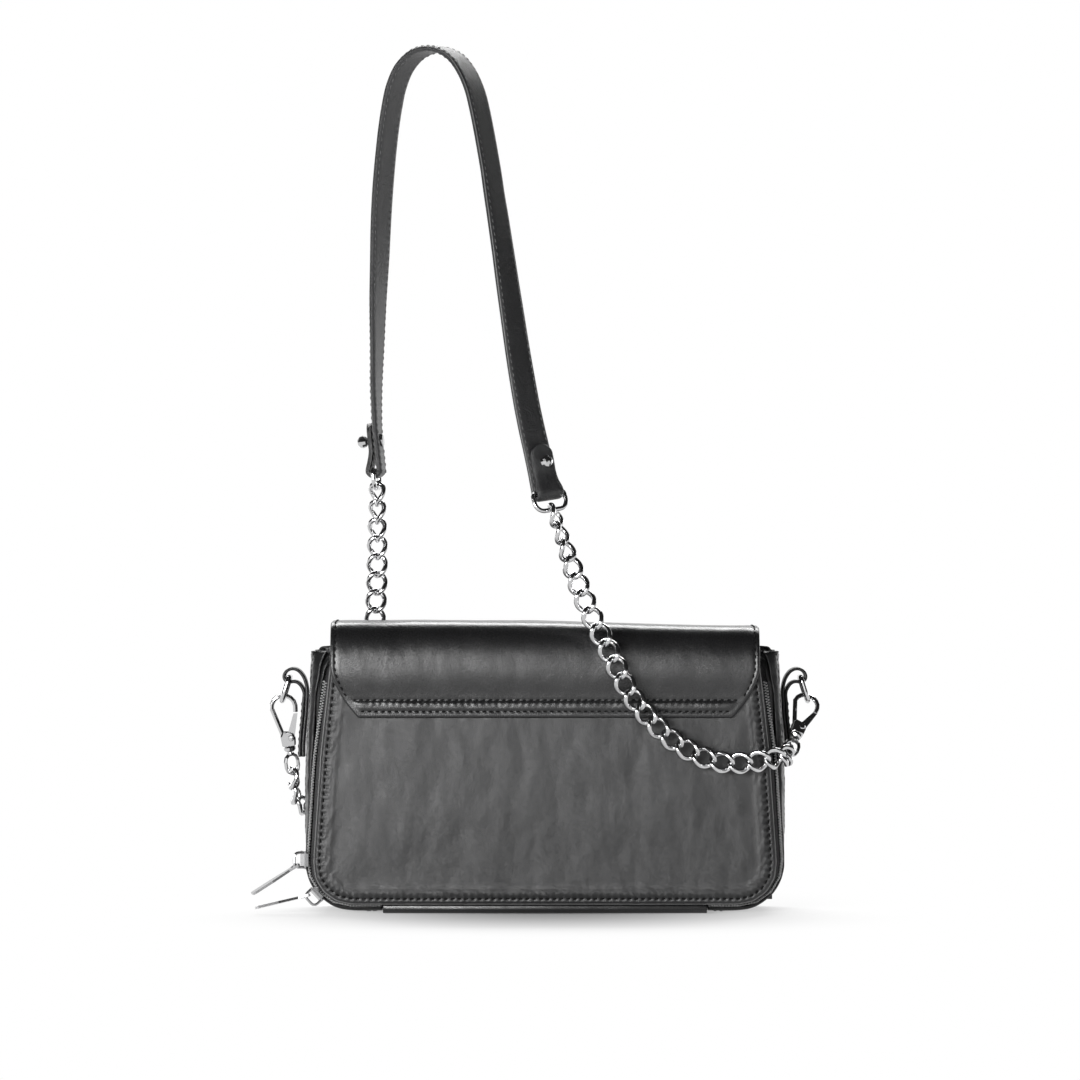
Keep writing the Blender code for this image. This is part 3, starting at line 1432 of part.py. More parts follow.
def chain_mids(table):
    return [Vector((x * EYE_X * 2, y * BAG_DEPTH, EYE_Z + z * CHAIN_REACH)) for x, y, z in table]


CHAIN_MIDS = {"left": chain_mids(CHAIN_LEFT_SHARES), "right": chain_mids(CHAIN_RIGHT_SHARES)}


def link_bow(along, flat, end):
    """The way that a link's end bow runs across, at its leading end (1) or trailing end (-1)."""
    flat = (flat - along * flat.dot(along)).normalized()
    side = flat.cross(along).normalized()
    lean = math.radians(LINK_TWIST) * end
    return side * math.cos(lean) + flat * math.sin(lean)


def swivel_turn(place, mids, side):
    """How far the swivel is turned for the last link's bow to pass square through its eyelet."""
    eye = eyelet_middle(place)
    along = (eye - mids[-1]).normalized()
    bow = link_bow(along, Vector((side, 0.0, 0.0)), 1.0)
    bow = place.to_3x3().inverted() @ bow
    return math.degrees(math.atan2(bow.x, -bow.y))


def make_side_hardware(side, word):
    make_tab("tab_" + word, side)
    at, down = ring_place(side)
    ring = pivot("ring_pivot_" + word, at)
    make_side_ring("side_ring_" + word, side, ring)
    place, bow_low = hook_frame(side)
    hook = pivot("hook_pivot_" + word, bow_low, ring)
    make_hook("hook_" + word, place, hook)
    gate = pivot("gate_pivot_" + word, place @ Vector((RIVET_X, 0.0, RIVET_Z)), hook)
    make_gate("gate_" + word, place, gate)
    make_rivet("gate_rivet_" + word, place, hook)
    swivel = pivot("swivel_pivot_" + word, place.translation, hook)
    turn = swivel_turn(place, CHAIN_MIDS[word], side) + SWIVEL_TRIMS[word]
    make_swivel("swivel_" + word, place, swivel, turn)
    return place


def chain_ends(ring, hook, mids):
    """Where a run's first and last links hang: in the strap ring and in the hook's eyelet."""
    at, wide, down = ring
    low = at + down * STRAP_RING_DEPTH
    half_l = (LINK_LENGTH - LINK_WIRE) / 2
    first_way = (mids[0] - low).normalized()
    start = low + first_way * (half_l - (LINK_WIRE + STRAP_RING_WIRE) / 2 - SEAT_GAP)
    eye = eyelet_middle(hook)
    last_way = (eye - mids[-1]).normalized()
    end = eye - last_way * (half_l - (LINK_WIRE + EYELET_WIRE) / 2 - TOUCH_GAP)
    return start, end, first_way, last_way


def make_shoulder_strap(hooks):
    swing = pivot("strap_pivot", (0.0, TAB_Y, EYE_Z))
    ends = make_strap(swing)
    swings = {"left": STRAP_RING_SWING_LEFT, "right": STRAP_RING_SWING_RIGHT}
    for word, end in zip(("left", "right"), ends):
        make_stud("stud_" + word, end, swing)
        ring = strap_ring_place(end, swings[word])
        hold = pivot("strap_ring_pivot_" + word, ring[0], swing)
        make_strap_ring("strap_ring_" + word, ring, hold)
        mids = CHAIN_MIDS[word]
        start, end_place, first_way, last_way = chain_ends(ring, hooks[word], mids)
        links = chain_route(start, mids, end_place)
        twist = math.radians(LINK_TWIST)
        wide = ring[1]
        over = Vector((0.0, -1.0 if word == "right" else 1.0, 0.0))
        spread = (wide - first_way * wide.dot(first_way)).normalized()
        across = first_way.cross(spread)
        first = spread * math.cos(twist) + across * math.sin(twist)
        if first.dot(over) < 0:
            first = -first

        aside = Vector((1.0 if word == "right" else -1.0, 0.0, 0.0))

        def flats(share, first=first, over=over, aside=aside):
            if share > 0.5:
                return over.lerp(aside, smooth_step((share - 0.75) * 5))
            return first.lerp(over, smooth_step(share * 4))

        make_chain("chain_" + word, links, flats)


make_bag()
make_sliders()
HOOK_PLACES = {
    word: make_side_hardware(side, word) for side, word in ((-1.0, "left"), (1.0, "right"))
}
make_shoulder_strap(HOOK_PLACES)
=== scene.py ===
import math
from bisect import bisect_left
import bpy
import bmesh
from mathutils import Matrix, Vector, noise


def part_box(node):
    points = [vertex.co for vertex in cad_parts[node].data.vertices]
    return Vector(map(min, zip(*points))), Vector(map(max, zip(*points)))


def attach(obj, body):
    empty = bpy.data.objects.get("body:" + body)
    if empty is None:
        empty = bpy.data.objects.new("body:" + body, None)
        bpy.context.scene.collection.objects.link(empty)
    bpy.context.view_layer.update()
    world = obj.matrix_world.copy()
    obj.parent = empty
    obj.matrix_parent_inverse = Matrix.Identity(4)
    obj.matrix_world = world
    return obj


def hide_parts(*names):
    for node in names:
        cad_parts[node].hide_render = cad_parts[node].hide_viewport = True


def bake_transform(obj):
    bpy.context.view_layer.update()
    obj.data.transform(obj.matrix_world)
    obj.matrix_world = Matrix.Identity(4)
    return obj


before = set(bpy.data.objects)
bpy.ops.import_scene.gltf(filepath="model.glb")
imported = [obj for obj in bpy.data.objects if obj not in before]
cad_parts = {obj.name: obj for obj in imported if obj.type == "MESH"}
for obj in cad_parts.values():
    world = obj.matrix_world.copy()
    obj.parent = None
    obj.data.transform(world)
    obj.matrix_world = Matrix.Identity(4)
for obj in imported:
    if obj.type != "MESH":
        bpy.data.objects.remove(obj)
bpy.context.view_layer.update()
mm = 0.001

# camera: level, seen from behind the purse, with a long lens from 2.6 m
cameraSettings = {"place": (-0.0025, -2.631, 0.187), "lens": 173.0, "sensor": 36.0}
cameraData = bpy.data.cameras.new("camera")
cameraData.lens = cameraSettings["lens"]
cameraData.sensor_width = cameraSettings["sensor"]
cameraData.clip_end = 50.0
camera = bpy.data.objects.new("camera", cameraData)
camera.location = cameraSettings["place"]
camera.rotation_euler = (math.radians(90.0), 0.0, 0.0)
bpy.context.scene.collection.objects.link(camera)
bpy.context.scene.camera = camera
bpy.context.scene.view_settings.view_transform = "Standard"


# small mesh helpers
def smoothStep(t):
    t = min(max(t, 0.0), 1.0)
    return t * t * (3 - 2 * t)


def bump(t, middle, wide):
    return math.exp(-((t - middle) / wide) ** 2)


def wave(x, y, seed):
    # a slow random unevenness, the same on each run
    return noise.noise(Vector((x, y, seed)))


def newPiece(name, verts, faces, material, body, replaced=()):
    mesh = bpy.data.meshes.new(name)
    mesh.from_pydata([tuple(v) for v in verts], [], faces)
    mesh.update()
    mesh.shade_smooth()
    obj = bpy.data.objects.new(name, mesh)
    bpy.context.scene.collection.objects.link(obj)
    obj.data.materials.append(material)
    if replaced:
        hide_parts(*replaced)
    if body:
        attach(obj, body)
    return obj


def takeMesh(mesh):
    # the points and faces of a worked mesh, which is then let go
    mesh.verts.index_update()
    verts = [v.co.copy() for v in mesh.verts]
    faces = [tuple(v.index for v in f.verts) for f in mesh.faces]
    mesh.free()
    return verts, faces


def outwardFaces(verts, faces):
    # turns every face to point out of the closed mesh
    mesh = bmesh.new()
    made = [mesh.verts.new(v) for v in verts]
    for f in faces:
        try:
            mesh.faces.new([made[k] for k in f])
        except ValueError:
            pass
    bmesh.ops.remove_doubles(mesh, verts=mesh.verts, dist=0.000001)
    bmesh.ops.recalc_face_normals(mesh, faces=mesh.faces)
    return takeMesh(mesh)


def bandFaces(low, high, count, closed=True, turn=0):
    # one band of faces between two rows of points that start at low and at high
    return [(low + k, low + (k + 1) % count, high + (k + 1 + turn) % count, high + (k + turn) % count)
            for k in range(count if closed else count - 1)]


def gridFaces(rows, columns, closed=False, start=0):
    faces = []
    for r in range(rows - 1):
        faces += bandFaces(start + r * columns, start + (r + 1) * columns, columns, closed)
    return faces


def loft(rings, loop=False, turn=0):
    # skins a row of equal closed sections, capped at both ends or, in a loop, joined end to end
    count = len(rings[0])
    base = (len(rings) - 1) * count
    faces = gridFaces(len(rings), count, True)
    if loop:
        faces += bandFaces(base, 0, count, True, turn)
    else:
        faces += [tuple(range(count))[::-1], tuple(base + k for k in range(count))]
    return [v for ring in rings for v in ring], faces


def shell(front, back):
    # two matching grids of points joined round their rim
    rows, columns = len(front), len(front[0])
    verts = [v for row in front + back for v in row]
    size, last = rows * columns, (rows - 1) * columns
    faces = gridFaces(rows, columns)
    faces += [f[::-1] for f in gridFaces(rows, columns, False, size)]
    rim = []
    for c in range(columns - 1):
        rim += [(c, c + 1), (last + c + 1, last + c)]
    for r in range(rows - 1):
        rim += [((r + 1) * columns, r * columns), (r * columns + columns - 1, (r + 1) * columns + columns - 1)]
    faces += [(b, a, a + size, b + size) for a, b in rim]
    return outwardFaces(verts, faces)


def gridNormals(rows):
    made = []
    for r, row in enumerate(rows):
        line = []
        for c in range(len(row)):
            u = rows[min(r + 1, len(rows) - 1)][c] - rows[max(r - 1, 0)][c]
            v = row[min(c + 1, len(row) - 1)] - row[max(c - 1, 0)]
            n = u.cross(v)
            line.append(n.normalized() if n.length > 0 else Vector((0.0, 0.0, 1.0)))
        made.append(line)
    return made


def sheetShell(rows, thickness, out):
    # a sheet of even thickness whose outer side is rows; out is a way that points outside
    normals = gridNormals(rows)
    if normals[len(rows) // 2][len(rows[0]) // 2].dot(out) < 0:
        normals = [[-n for n in line] for line in normals]
    back = [[p - n * thickness for p, n in zip(row, line)] for row, line in zip(rows, normals)]
    return shell(rows, back)


def runLengths(points):
    # how far along its line each point lies
    lengths = [0.0]
    for a, b in zip(points, points[1:]):
        lengths.append(lengths[-1] + (b - a).length)
    return lengths


def stretchAt(lengths, distance):
    # the stretch of a line that holds a distance, and the share of that stretch
    k = bisect_left(lengths, distance, 1, len(lengths) - 1) - 1
    return k, (distance - lengths[k]) / max(lengths[k + 1] - lengths[k], 1e-9)


def resample(points, count, closed=False):
    # even points along a line
    dense = list(points) + ([points[0]] if closed else [])
    lengths = runLengths(dense)
    made = []
    steps = count if closed else count - 1
    for n in range(count):
        k, share = stretchAt(lengths, lengths[-1] * n / steps)
        made.append(dense[k].lerp(dense[k + 1], share))
    return made


def smoothLine(points, rounds, closed=False):
    for _ in range(rounds):
        made = []
        for n, p in enumerate(points):
            if not closed and n in (0, len(points) - 1):
                made.append(p)
                continue
            made.append(points[n - 1] * 0.25 + p * 0.5 + points[(n + 1) % len(points)] * 0.25)
        points = made
    return points


def curvePoint(points, n, t):
    # a point of the smooth curve that passes through all the points, between the nth and the next
    p0, p1 = points[max(n - 1, 0)], points[n]
    p2, p3 = points[n + 1], points[min(n + 2, len(points) - 1)]
    return 0.5 * (2 * p1 + (p2 - p0) * t + (2 * p0 - 5 * p1 + 4 * p2 - p3) * t * t
                  + (3 * p1 - p0 - 3 * p2 + p3) * t ** 3)


def curveThrough(points, count):
    # that curve as count even points
    dense = [curvePoint(points, n, k / 12) for n in range(len(points) - 1) for k in range(12)]
    return resample(dense + [points[-1]], count)


def lineWay(points, n):
    # the way a line runs at its nth point
    return (points[min(n + 1, len(points) - 1)] - points[max(n - 1, 0)]).normalized()


def wireLoop(points, radius, sides):
    # a closed loop of round wire
    count = len(points)
    rings = []
    before = None
    for n, p in enumerate(points):
        along = (points[(n + 1) % count] - points[n - 1]).normalized()
        across = along.orthogonal() if before is None else before - along * before.dot(along)
        before = across.normalized()
        up = along.cross(before)
        turns = [2 * math.pi * k / sides for k in range(sides)]
        rings.append([p + before * (math.cos(a) * radius) + up * (math.sin(a) * radius) for a in turns])
    # finds the turn that joins the last ring to the first with least twist
    last, first = rings[-1], rings[0]
    best = min(range(sides), key=lambda s: sum((last[k] - first[(k + s) % sides]).length for k in range(sides)))
    return loft(rings, True, best)


def gather(parts):
    # joins several (verts, faces) into one
    verts, faces = [], []
    for v, f in parts:
        base = len(verts)
        verts += list(v)
        faces += [tuple(base + k for k in face) for face in f]
    return verts, faces


threadShape = {"slant": 6.0, "sections": 7, "sides": 8, "blunt": 3.2, "rise": 0.55, "dip": 0.75}


def stitches(path, outs, pitch, length, wide, sink=0.0):
    # one thread stitch after another along path; outs are the ways out of the leather there
    s = threadShape
    lean = math.radians(s["slant"])
    lengths = runLengths(path)
    count = max(1, int(lengths[-1] / pitch))
    parts = []
    for n in range(count):
        k, share = stretchAt(lengths, (n + 0.5) * lengths[-1] / count)
        place = path[k].lerp(path[k + 1], share)
        along = (path[k + 1] - path[k]).normalized()
        out = outs[k].lerp(outs[k + 1], share).normalized()
        side = out.cross(along).normalized()
        along = (along * math.cos(lean) + side * math.sin(lean)).normalized()
        side = out.cross(along).normalized()
        rings = []
        for j in range(s["sections"]):
            t = -1 + 2 * j / (s["sections"] - 1)
            thick = wide / 2 * math.sqrt(max(1 - abs(t) ** s["blunt"], 0.02))
            lift = (s["rise"] - s["dip"] * t * t) * wide / 2 - sink
            middle = place + along * (t * length / 2) + out * lift
            rings.append([middle + side * (math.cos(a) * thick) + out * (math.sin(a) * thick)
                          for a in (2 * math.pi * q / s["sides"] for q in range(s["sides"]))])
        parts.append(loft(rings))
    return gather(parts)


# effects that several materials share
def effectGroup(name, inputs, outputs):
    # an empty shared effect, with what it is given and what it puts out
    group = bpy.data.node_groups.new(name, "ShaderNodeTree")
    for label, value in {"Place": (0.0, 0.0, 0.0), **inputs}.items():
        kind = "NodeSocketFloat" if isinstance(value, float) else "NodeSocketVector"
        group.interface.new_socket(label, in_out="INPUT", socket_type=kind).default_value = value
    for label in outputs:
        group.interface.new_socket(label, in_out="OUTPUT", socket_type="NodeSocketFloat")
    return group, group.nodes.new("NodeGroupInput").outputs, group.nodes.new("NodeGroupOutput").inputs


def addNode(tree, kind, links=None, **settings):
    node = tree.nodes.new(kind)
    for key, value in settings.items():
        setattr(node, key, value)
    for socket, source in (links or {}).items():
        if isinstance(source, bpy.types.NodeSocket):
            tree.links.new(source, node.inputs[socket])
        else:
            node.inputs[socket].default_value = source
    return node


def sums(tree):
    # a short way to write the sums of one node tree
    def work(operation, a, b=0.0):
        return addNode(tree, "ShaderNodeMath", {0: a, 1: b}, operation=operation).outputs[0]
    return work


def noiseIn(tree, place, scale, detail, **more):
    given = {"Vector": place, "Scale": scale, "Detail": detail, **more}
    return addNode(tree, "ShaderNodeTexNoise", given).outputs["Fac"]


# smooth leather: small cells, pores between them, fine creases, and slow bumps drawn out in streaks
grain = {"warpScale": 420.0, "warpReach": 0.0012, "cellEdge": 3.2, "cellRound": 0.55, "cellShare": 0.75,
         "fineScale": 2600.0, "fineShare": 0.35, "creaseScale": 85.0, "creaseEdge": 9.0, "slowScale": 30.0,
         "slowShare": 1.3, "streakScale": 95.0, "streakLean": 0.35, "streakStretch": 0.5}
grainGroup, given, put = effectGroup("leatherGrain", {"Cells": 900.0, "Creases": 0.5, "Bumps": 0.5, "Depth": 0.5},
                                     ["Height", "Pores", "Mottle"])
work = sums(grainGroup)
place = given["Place"]
warp = addNode(grainGroup, "ShaderNodeTexNoise", {"Vector": place, "Scale": grain["warpScale"], "Detail": 2.0})
shift = addNode(grainGroup, "ShaderNodeVectorMath", {0: warp.outputs["Color"], 1: (grain["warpReach"],) * 3},
                operation="MULTIPLY")
warped = addNode(grainGroup, "ShaderNodeVectorMath", {0: place, 1: shift.outputs[0]}, operation="ADD")
cells = addNode(grainGroup, "ShaderNodeTexVoronoi", {"Vector": warped.outputs[0], "Scale": given["Cells"]},
                feature="DISTANCE_TO_EDGE")
pebble = work("MINIMUM", work("MULTIPLY", cells.outputs["Distance"], grain["cellEdge"]), 1.0)
pebble = work("POWER", pebble, grain["cellRound"])
fine = noiseIn(grainGroup, place, grain["fineScale"], 3.0, Roughness=0.6)
slow = noiseIn(grainGroup, place, grain["slowScale"], 1.5)
crease = noiseIn(grainGroup, place, grain["creaseScale"], 4.0, Roughness=0.62, Distortion=1.2)
crease = work("MULTIPLY", work("ABSOLUTE", work("SUBTRACT", crease, 0.5)), grain["creaseEdge"])
crease = work("MULTIPLY", work("MINIMUM", crease, 1.0), given["Creases"])
small = work("ADD", work("MULTIPLY", pebble, grain["cellShare"]), work("MULTIPLY", fine, grain["fineShare"]))
streaks = addNode(grainGroup, "ShaderNodeMapping", {0: place, 2: (0.0, grain["streakLean"], 0.0),
                                                    3: (1.0, 1.0, grain["streakStretch"])})
soft = noiseIn(grainGroup, streaks.outputs[0], grain["streakScale"], 1.5, Roughness=0.45)
height = work("ADD", work("MULTIPLY", small, given["Depth"]), crease)
height = work("ADD", height, work("MULTIPLY", slow, grain["slowShare"]))
grainGroup.links.new(work("ADD", height, work("MULTIPLY", soft, given["Bumps"])), put["Height"])
grainGroup.links.new(work("SUBTRACT", 1.0, pebble), put["Pores"])
grainGroup.links.new(slow, put["Mottle"])

# plain weave: two crossed rows of threads, with a little fuzz
weave = {"slant": 0.83, "fuzzScale": 1800.0, "fuzzShare": 0.7, "shadeShare": 0.25}
weaveGroup, given, put = effectGroup("clothWeave", {"Threads": 2600.0}, ["Height", "Shade"])
work = sums(weaveGroup)
parts = addNode(weaveGroup, "ShaderNodeSeparateXYZ", {0: given["Place"]}).outputs
across = work("ADD", parts["X"], work("MULTIPLY", parts["Y"], weave["slant"]))
woven = work("MULTIPLY", work("SINE", work("MULTIPLY", across, given["Threads"])),
             work("SINE", work("MULTIPLY", parts["Z"], given["Threads"])))
fuzz = noiseIn(weaveGroup, given["Place"], weave["fuzzScale"], 3.0)
weaveGroup.links.new(work("ADD", woven, work("MULTIPLY", fuzz, weave["fuzzShare"])), put["Height"])
weaveGroup.links.new(work("ADD", work("MULTIPLY", woven, weave["shadeShare"]), fuzz), put["Shade"])

# plated metal: faint rubbing marks and a slow unevenness
wear = {"markSpread": (400.0, 400.0, 2400.0), "cloudScale": 260.0, "cloudShare": 0.22}
wearGroup, given, put = effectGroup("platingWear", {"Marks": 0.5}, ["Height", "Dull"])
work = sums(wearGroup)
drawn = addNode(wearGroup, "ShaderNodeMapping", {0: given["Place"], 3: wear["markSpread"]})
marks = noiseIn(wearGroup, drawn.outputs[0], 1.0, 4.0, Roughness=0.7)
cloudy = noiseIn(wearGroup, given["Place"], wear["cloudScale"], 3.0)
rub = work("MULTIPLY", work("SUBTRACT", marks, 0.5), given["Marks"])
wearGroup.links.new(rub, put["Height"])
wearGroup.links.new(work("ADD", work("MULTIPLY", cloudy, wear["cloudShare"]), work("ABSOLUTE", rub)), put["Dull"])


def blendColor(tree, factor, a, b):
    mixer = tree.nodes.new("ShaderNodeMix")
    mixer.data_type = "RGBA"
    tree.links.new(factor, mixer.inputs[0])
    mixer.inputs[6].default_value = (*a, 1.0)
    mixer.inputs[7].default_value = (*b, 1.0)
    return mixer.outputs[2]


def spread(tree, value, low, high):
    # maps 0..1 to low..high
    return addNode(tree, "ShaderNodeMapRange", {"Value": value, "To Min": low, "To Max": high}).outputs["Result"]


def startMaterial(name, group, values, shade, colors, strength, relief, gloss=0.5):
    # a material whose colour and relief come from one shared effect
    material = bpy.data.materials.new(name)
    material.use_nodes = True
    tree = material.node_tree
    shader = tree.nodes["Principled BSDF"].inputs
    place = addNode(tree, "ShaderNodeTexCoord").outputs["Object"]
    effect = addNode(tree, "ShaderNodeGroup", {"Place": place, **values}, node_tree=group).outputs
    tree.links.new(blendColor(tree, effect[shade], *colors), shader["Base Color"])
    given = {"Height": effect["Height"], "Strength": strength, "Distance": relief}
    tree.links.new(addNode(tree, "ShaderNodeBump", given).outputs[0], shader["Normal"])
    shader["Specular IOR Level"].default_value = gloss
    return material, tree, shader, effect


def leatherMaterial(name, dark, light, roughness, creases, bumps=0.7, depth=0.5, gloss=0.5):
    values, colors = {"Cells": 2400.0, "Creases": creases, "Bumps": bumps, "Depth": depth}, (dark, light)
    material, tree, shader, effect = startMaterial(name, grainGroup, values, "Mottle", colors, 1.0, 0.00045, gloss)
    pores = spread(tree, effect["Pores"], roughness, roughness + 0.14)
    mottled = spread(tree, effect["Mottle"], -0.05, 0.05)
    tree.links.new(sums(tree)("ADD", pores, mottled), shader["Roughness"])
    return material


def clothMaterial(name, dark, light, roughness, threads=2600.0, relief=0.00015, gloss=0.5):
    values, colors = {"Threads": threads}, (dark, light)
    material, tree, shader, effect = startMaterial(name, weaveGroup, values, "Shade", colors, 0.8, relief, gloss)
    tree.links.new(spread(tree, effect["Shade"], roughness, roughness + 0.15), shader["Roughness"])
    return material


def metalMaterial(name, color, roughness, marks=0.5):
    colors = tuple(min(c * 1.08, 1.0) for c in color), color
    material, tree, shader, effect = startMaterial(name, wearGroup, {"Marks": marks}, "Dull", colors, 0.5, 0.00004)
    tree.links.new(spread(tree, effect["Dull"], roughness, roughness + 0.16), shader["Roughness"])
    shader["Metallic"].default_value = 1.0
    return material


# each finish: colours are linear red, green, blue
leathers = {
    "panelLeather": dict(dark=(0.011, 0.011, 0.0114), light=(0.019, 0.019, 0.0195), roughness=0.30, creases=0.05,
                         bumps=2.1, depth=0.11, gloss=0.47),
    # glossier than the panel leather, and darker as painted shade, to deepen the dark band under the flap's fold
    "shadedFlapLeather": dict(dark=(0.006, 0.006, 0.0063), light=(0.010, 0.010, 0.0104), roughness=0.22, creases=0.03,
                        bumps=0.9, depth=0.05),
    # darker than the panel leather: painted shade for the side walls, base and tabs, which face away from the light
    "shadedGussetLeather": dict(dark=(0.005, 0.005, 0.0053), light=(0.009, 0.009, 0.0094), roughness=0.27, creases=0.12,
                          depth=0.07, gloss=0.3),
    "strapLeather": dict(dark=(0.010, 0.010, 0.0105), light=(0.016, 0.016, 0.017), roughness=0.34, creases=0.15,
                         depth=0.2),
    "strapLiningLeather": dict(dark=(0.020, 0.020, 0.021), light=(0.036, 0.036, 0.037), roughness=0.36,
                               creases=0.15, depth=0.12),
    # paler than the leather: a painted highlight for the turned and cut edges
    "paintedEdgeHighlight": dict(dark=(0.10, 0.10, 0.10), light=(0.16, 0.16, 0.16), roughness=0.45, creases=0.1, depth=0.15),
}
cloths = {
    "liningCloth": dict(dark=(0.030, 0.030, 0.032), light=(0.055, 0.055, 0.058), roughness=0.62),
    "tapeCloth": dict(dark=(0.012, 0.012, 0.012), light=(0.030, 0.030, 0.031), roughness=0.7, threads=3600.0),
    "thread": dict(dark=(0.003, 0.003, 0.003), light=(0.007, 0.007, 0.007), roughness=0.6, threads=9000.0,
                   relief=0.00005, gloss=0.12),
    "strapThread": dict(dark=(0.06, 0.06, 0.06), light=(0.12, 0.12, 0.12), roughness=0.5, threads=9000.0,
                        relief=0.00005, gloss=0.3),
    "toothPlastic": dict(dark=(0.16, 0.16, 0.16), light=(0.36, 0.36, 0.36), roughness=0.22, threads=4000.0,
                         relief=0.00003),
}
(panelLeather, shadedFlapLeather, shadedGussetLeather, strapLeather, strapLiningLeather,
 paintedEdgeHighlight) = [leatherMaterial(name, **look) for name, look in leathers.items()]
(liningCloth, tapeCloth, thread, strapThread,
 toothPlastic) = [clothMaterial(name, **look) for name, look in cloths.items()]
plated = metalMaterial("plated", (0.52, 0.52, 0.525), 0.13)
platedDull = metalMaterial("platedDull", (0.42, 0.42, 0.425), 0.20, marks=0.9)
print("materials made")

# pale floor, white surroundings and soft studio light; each lamp: its place, what it faces, its size and its power
studio = {"floor": 0.90, "around": 0.02, "fadeFrom": -0.02, "fadeTo": 0.22, "sheetFrom": 0.55, "sheetTo": 0.95,
          "floorHalf": 12, "floorDrop": 0.0004}
lamps = {
    "frontSoftbox": ((-0.70, -1.45, 0.30), (0.0, 0.0, 0.09), (0.9, 0.36), 29.5),
    "fillSoftbox": ((0.1, -3.3, 0.30), (0.0, 0.0, 0.09), (2.6, 0.75), 12.0),
    "topSoftbox": ((0.0, 1.55, 2.0), (0.0, 0.0, 0.1), (2.6, 0.8), 84.0),
    "leftSoftbox": ((-1.9, 2.0, 0.35), (0.0, 0.0, 0.15), (1.2, 0.8), 8.0),
    "rightSoftbox": ((1.9, 2.0, 0.35), (0.0, 0.0, 0.15), (1.2, 0.8), 9.0),
}


def backgroundRays(tree, mirrorShare):
    # the rays that see the white background: from the camera, through glass, and by way of metal
    work = sums(tree)
    rays = addNode(tree, "ShaderNodeLightPath").outputs
    mirrored = work("MULTIPLY", rays["Is Glossy Ray"], mirrorShare)
    return work("MAXIMUM", work("MAXIMUM", rays["Is Camera Ray"], rays["Is Transmission Ray"]), mirrored)


floorMaterial = bpy.data.materials.new("paleFloor")
floorMaterial.use_nodes = True
tree = floorMaterial.node_tree
shader = tree.nodes["Principled BSDF"]
place = addNode(tree, "ShaderNodeTexCoord").outputs["Object"]
level = studio["floor"]
speckle = blendColor(tree, noiseIn(tree, place, 300.0, 3.0), (level,) * 3, (level * 1.01,) * 3)
tree.links.new(speckle, shader.inputs["Base Color"])
shader.inputs["Roughness"].default_value = 0.9
shader.inputs["Specular IOR Level"].default_value = 0.0
lit = addNode(tree, "ShaderNodeEmission", {"Color": (1.0, 1.0, 1.0, 1.0), "Strength": 1.0})
reach = addNode(tree, "ShaderNodeVectorMath", {0: place}, operation="LENGTH").outputs["Value"]
far = addNode(tree, "ShaderNodeMapRange", {"Value": reach, "From Min": studio["fadeFrom"],
                                           "From Max": studio["fadeTo"]}, interpolation_type="SMOOTHERSTEP")
seenFar = sums(tree)("MULTIPLY", far.outputs["Result"], backgroundRays(tree, 1.0))
laid = addNode(tree, "ShaderNodeMixShader", {0: seenFar, 1: shader.outputs[0], 2: lit.outputs[0]})
tree.links.new(laid.outputs[0], tree.nodes["Material Output"].inputs["Surface"])
floorMesh = bpy.data.meshes.new("floor")
half = studio["floorHalf"]
floorMesh.from_pydata([(-half, -half, 0), (half, -half, 0), (half, half, 0), (-half, half, 0)], [], [(0, 1, 2, 3)])
floor = bpy.data.objects.new("floor", floorMesh)
floor.data.materials.append(floorMaterial)
floor.location.z = -studio["floorDrop"]
bpy.context.scene.collection.objects.link(floor)

world = bpy.data.worlds.new("surroundings")
bpy.context.scene.world = world
world.use_nodes = True
tree = world.node_tree
room = tree.nodes["Background"]
room.inputs["Color"].default_value = (1.0, 1.0, 1.0, 1.0)
room.inputs["Strength"].default_value = studio["around"]
seen = addNode(tree, "ShaderNodeBackground", {"Color": (1.0, 1.0, 1.0, 1.0), "Strength": 1.0})
# in reflections the white sheet stands behind the purse only, and the rest of the room stays dark
heading = addNode(tree, "ShaderNodeSeparateXYZ", {0: addNode(tree, "ShaderNodeTexCoord").outputs["Generated"]})
sheet = addNode(tree, "ShaderNodeMapRange", {"Value": heading.outputs["Y"], "From Min": studio["sheetFrom"],
                                             "From Max": studio["sheetTo"]}, interpolation_type="SMOOTHSTEP")
white = backgroundRays(tree, sheet.outputs["Result"])
either = addNode(tree, "ShaderNodeMixShader", {0: white, 1: room.outputs[0], 2: seen.outputs[0]})
tree.links.new(either.outputs[0], tree.nodes["World Output"].inputs["Surface"])

for name, (place, target, size, power) in lamps.items():
    lamp = bpy.data.lights.new(name, "AREA")
    lamp.shape = "RECTANGLE"
    lamp.size, lamp.size_y = size
    lamp.energy = power
    softbox = bpy.data.objects.new(name, lamp)
    softbox.location = place
    softbox.rotation_euler = (Vector(target) - Vector(place)).to_track_quat("-Z", "Y").to_euler()
    bpy.context.scene.collection.objects.link(softbox)
print("stage made")


# measured lines of the purse, in millimetres; the zip and the panel are the same both sides of the middle
zipPathHalf = [
    (-82.0, 3.4), (-97.4, 3.4), (-106.2, 5.2), (-113.5, 10.3), (-118.1, 17.9), (-119.4, 26.7), (-118.2, 46.9),
    (-117.0, 67.1), (-116.5, 73.5), (-115.9, 80.0), (-115.1, 86.4), (-114.1, 92.7), (-112.7, 101.0),
    (-111.3, 109.2), (-109.9, 117.4), (-108.5, 125.6), (-106.7, 130.9), (-103.1, 135.2), (-98.3, 138.0),
    (-92.8, 139.0),
]
panelPathHalf = [
    (-82.0, 4.3), (-96.8, 4.3), (-104.5, 5.9), (-111.0, 10.5), (-115.1, 17.2), (-116.2, 25.1), (-114.6, 50.0),
    (-112.9, 74.8), (-112.8, 77.4), (-112.5, 80.0), (-112.3, 82.6), (-112.0, 85.1), (-111.0, 94.8), (-109.9, 104.6),
    (-108.9, 114.3), (-107.8, 124.0), (-106.4, 128.7), (-103.4, 132.5), (-99.2, 135.1), (-94.4, 136.0),
]
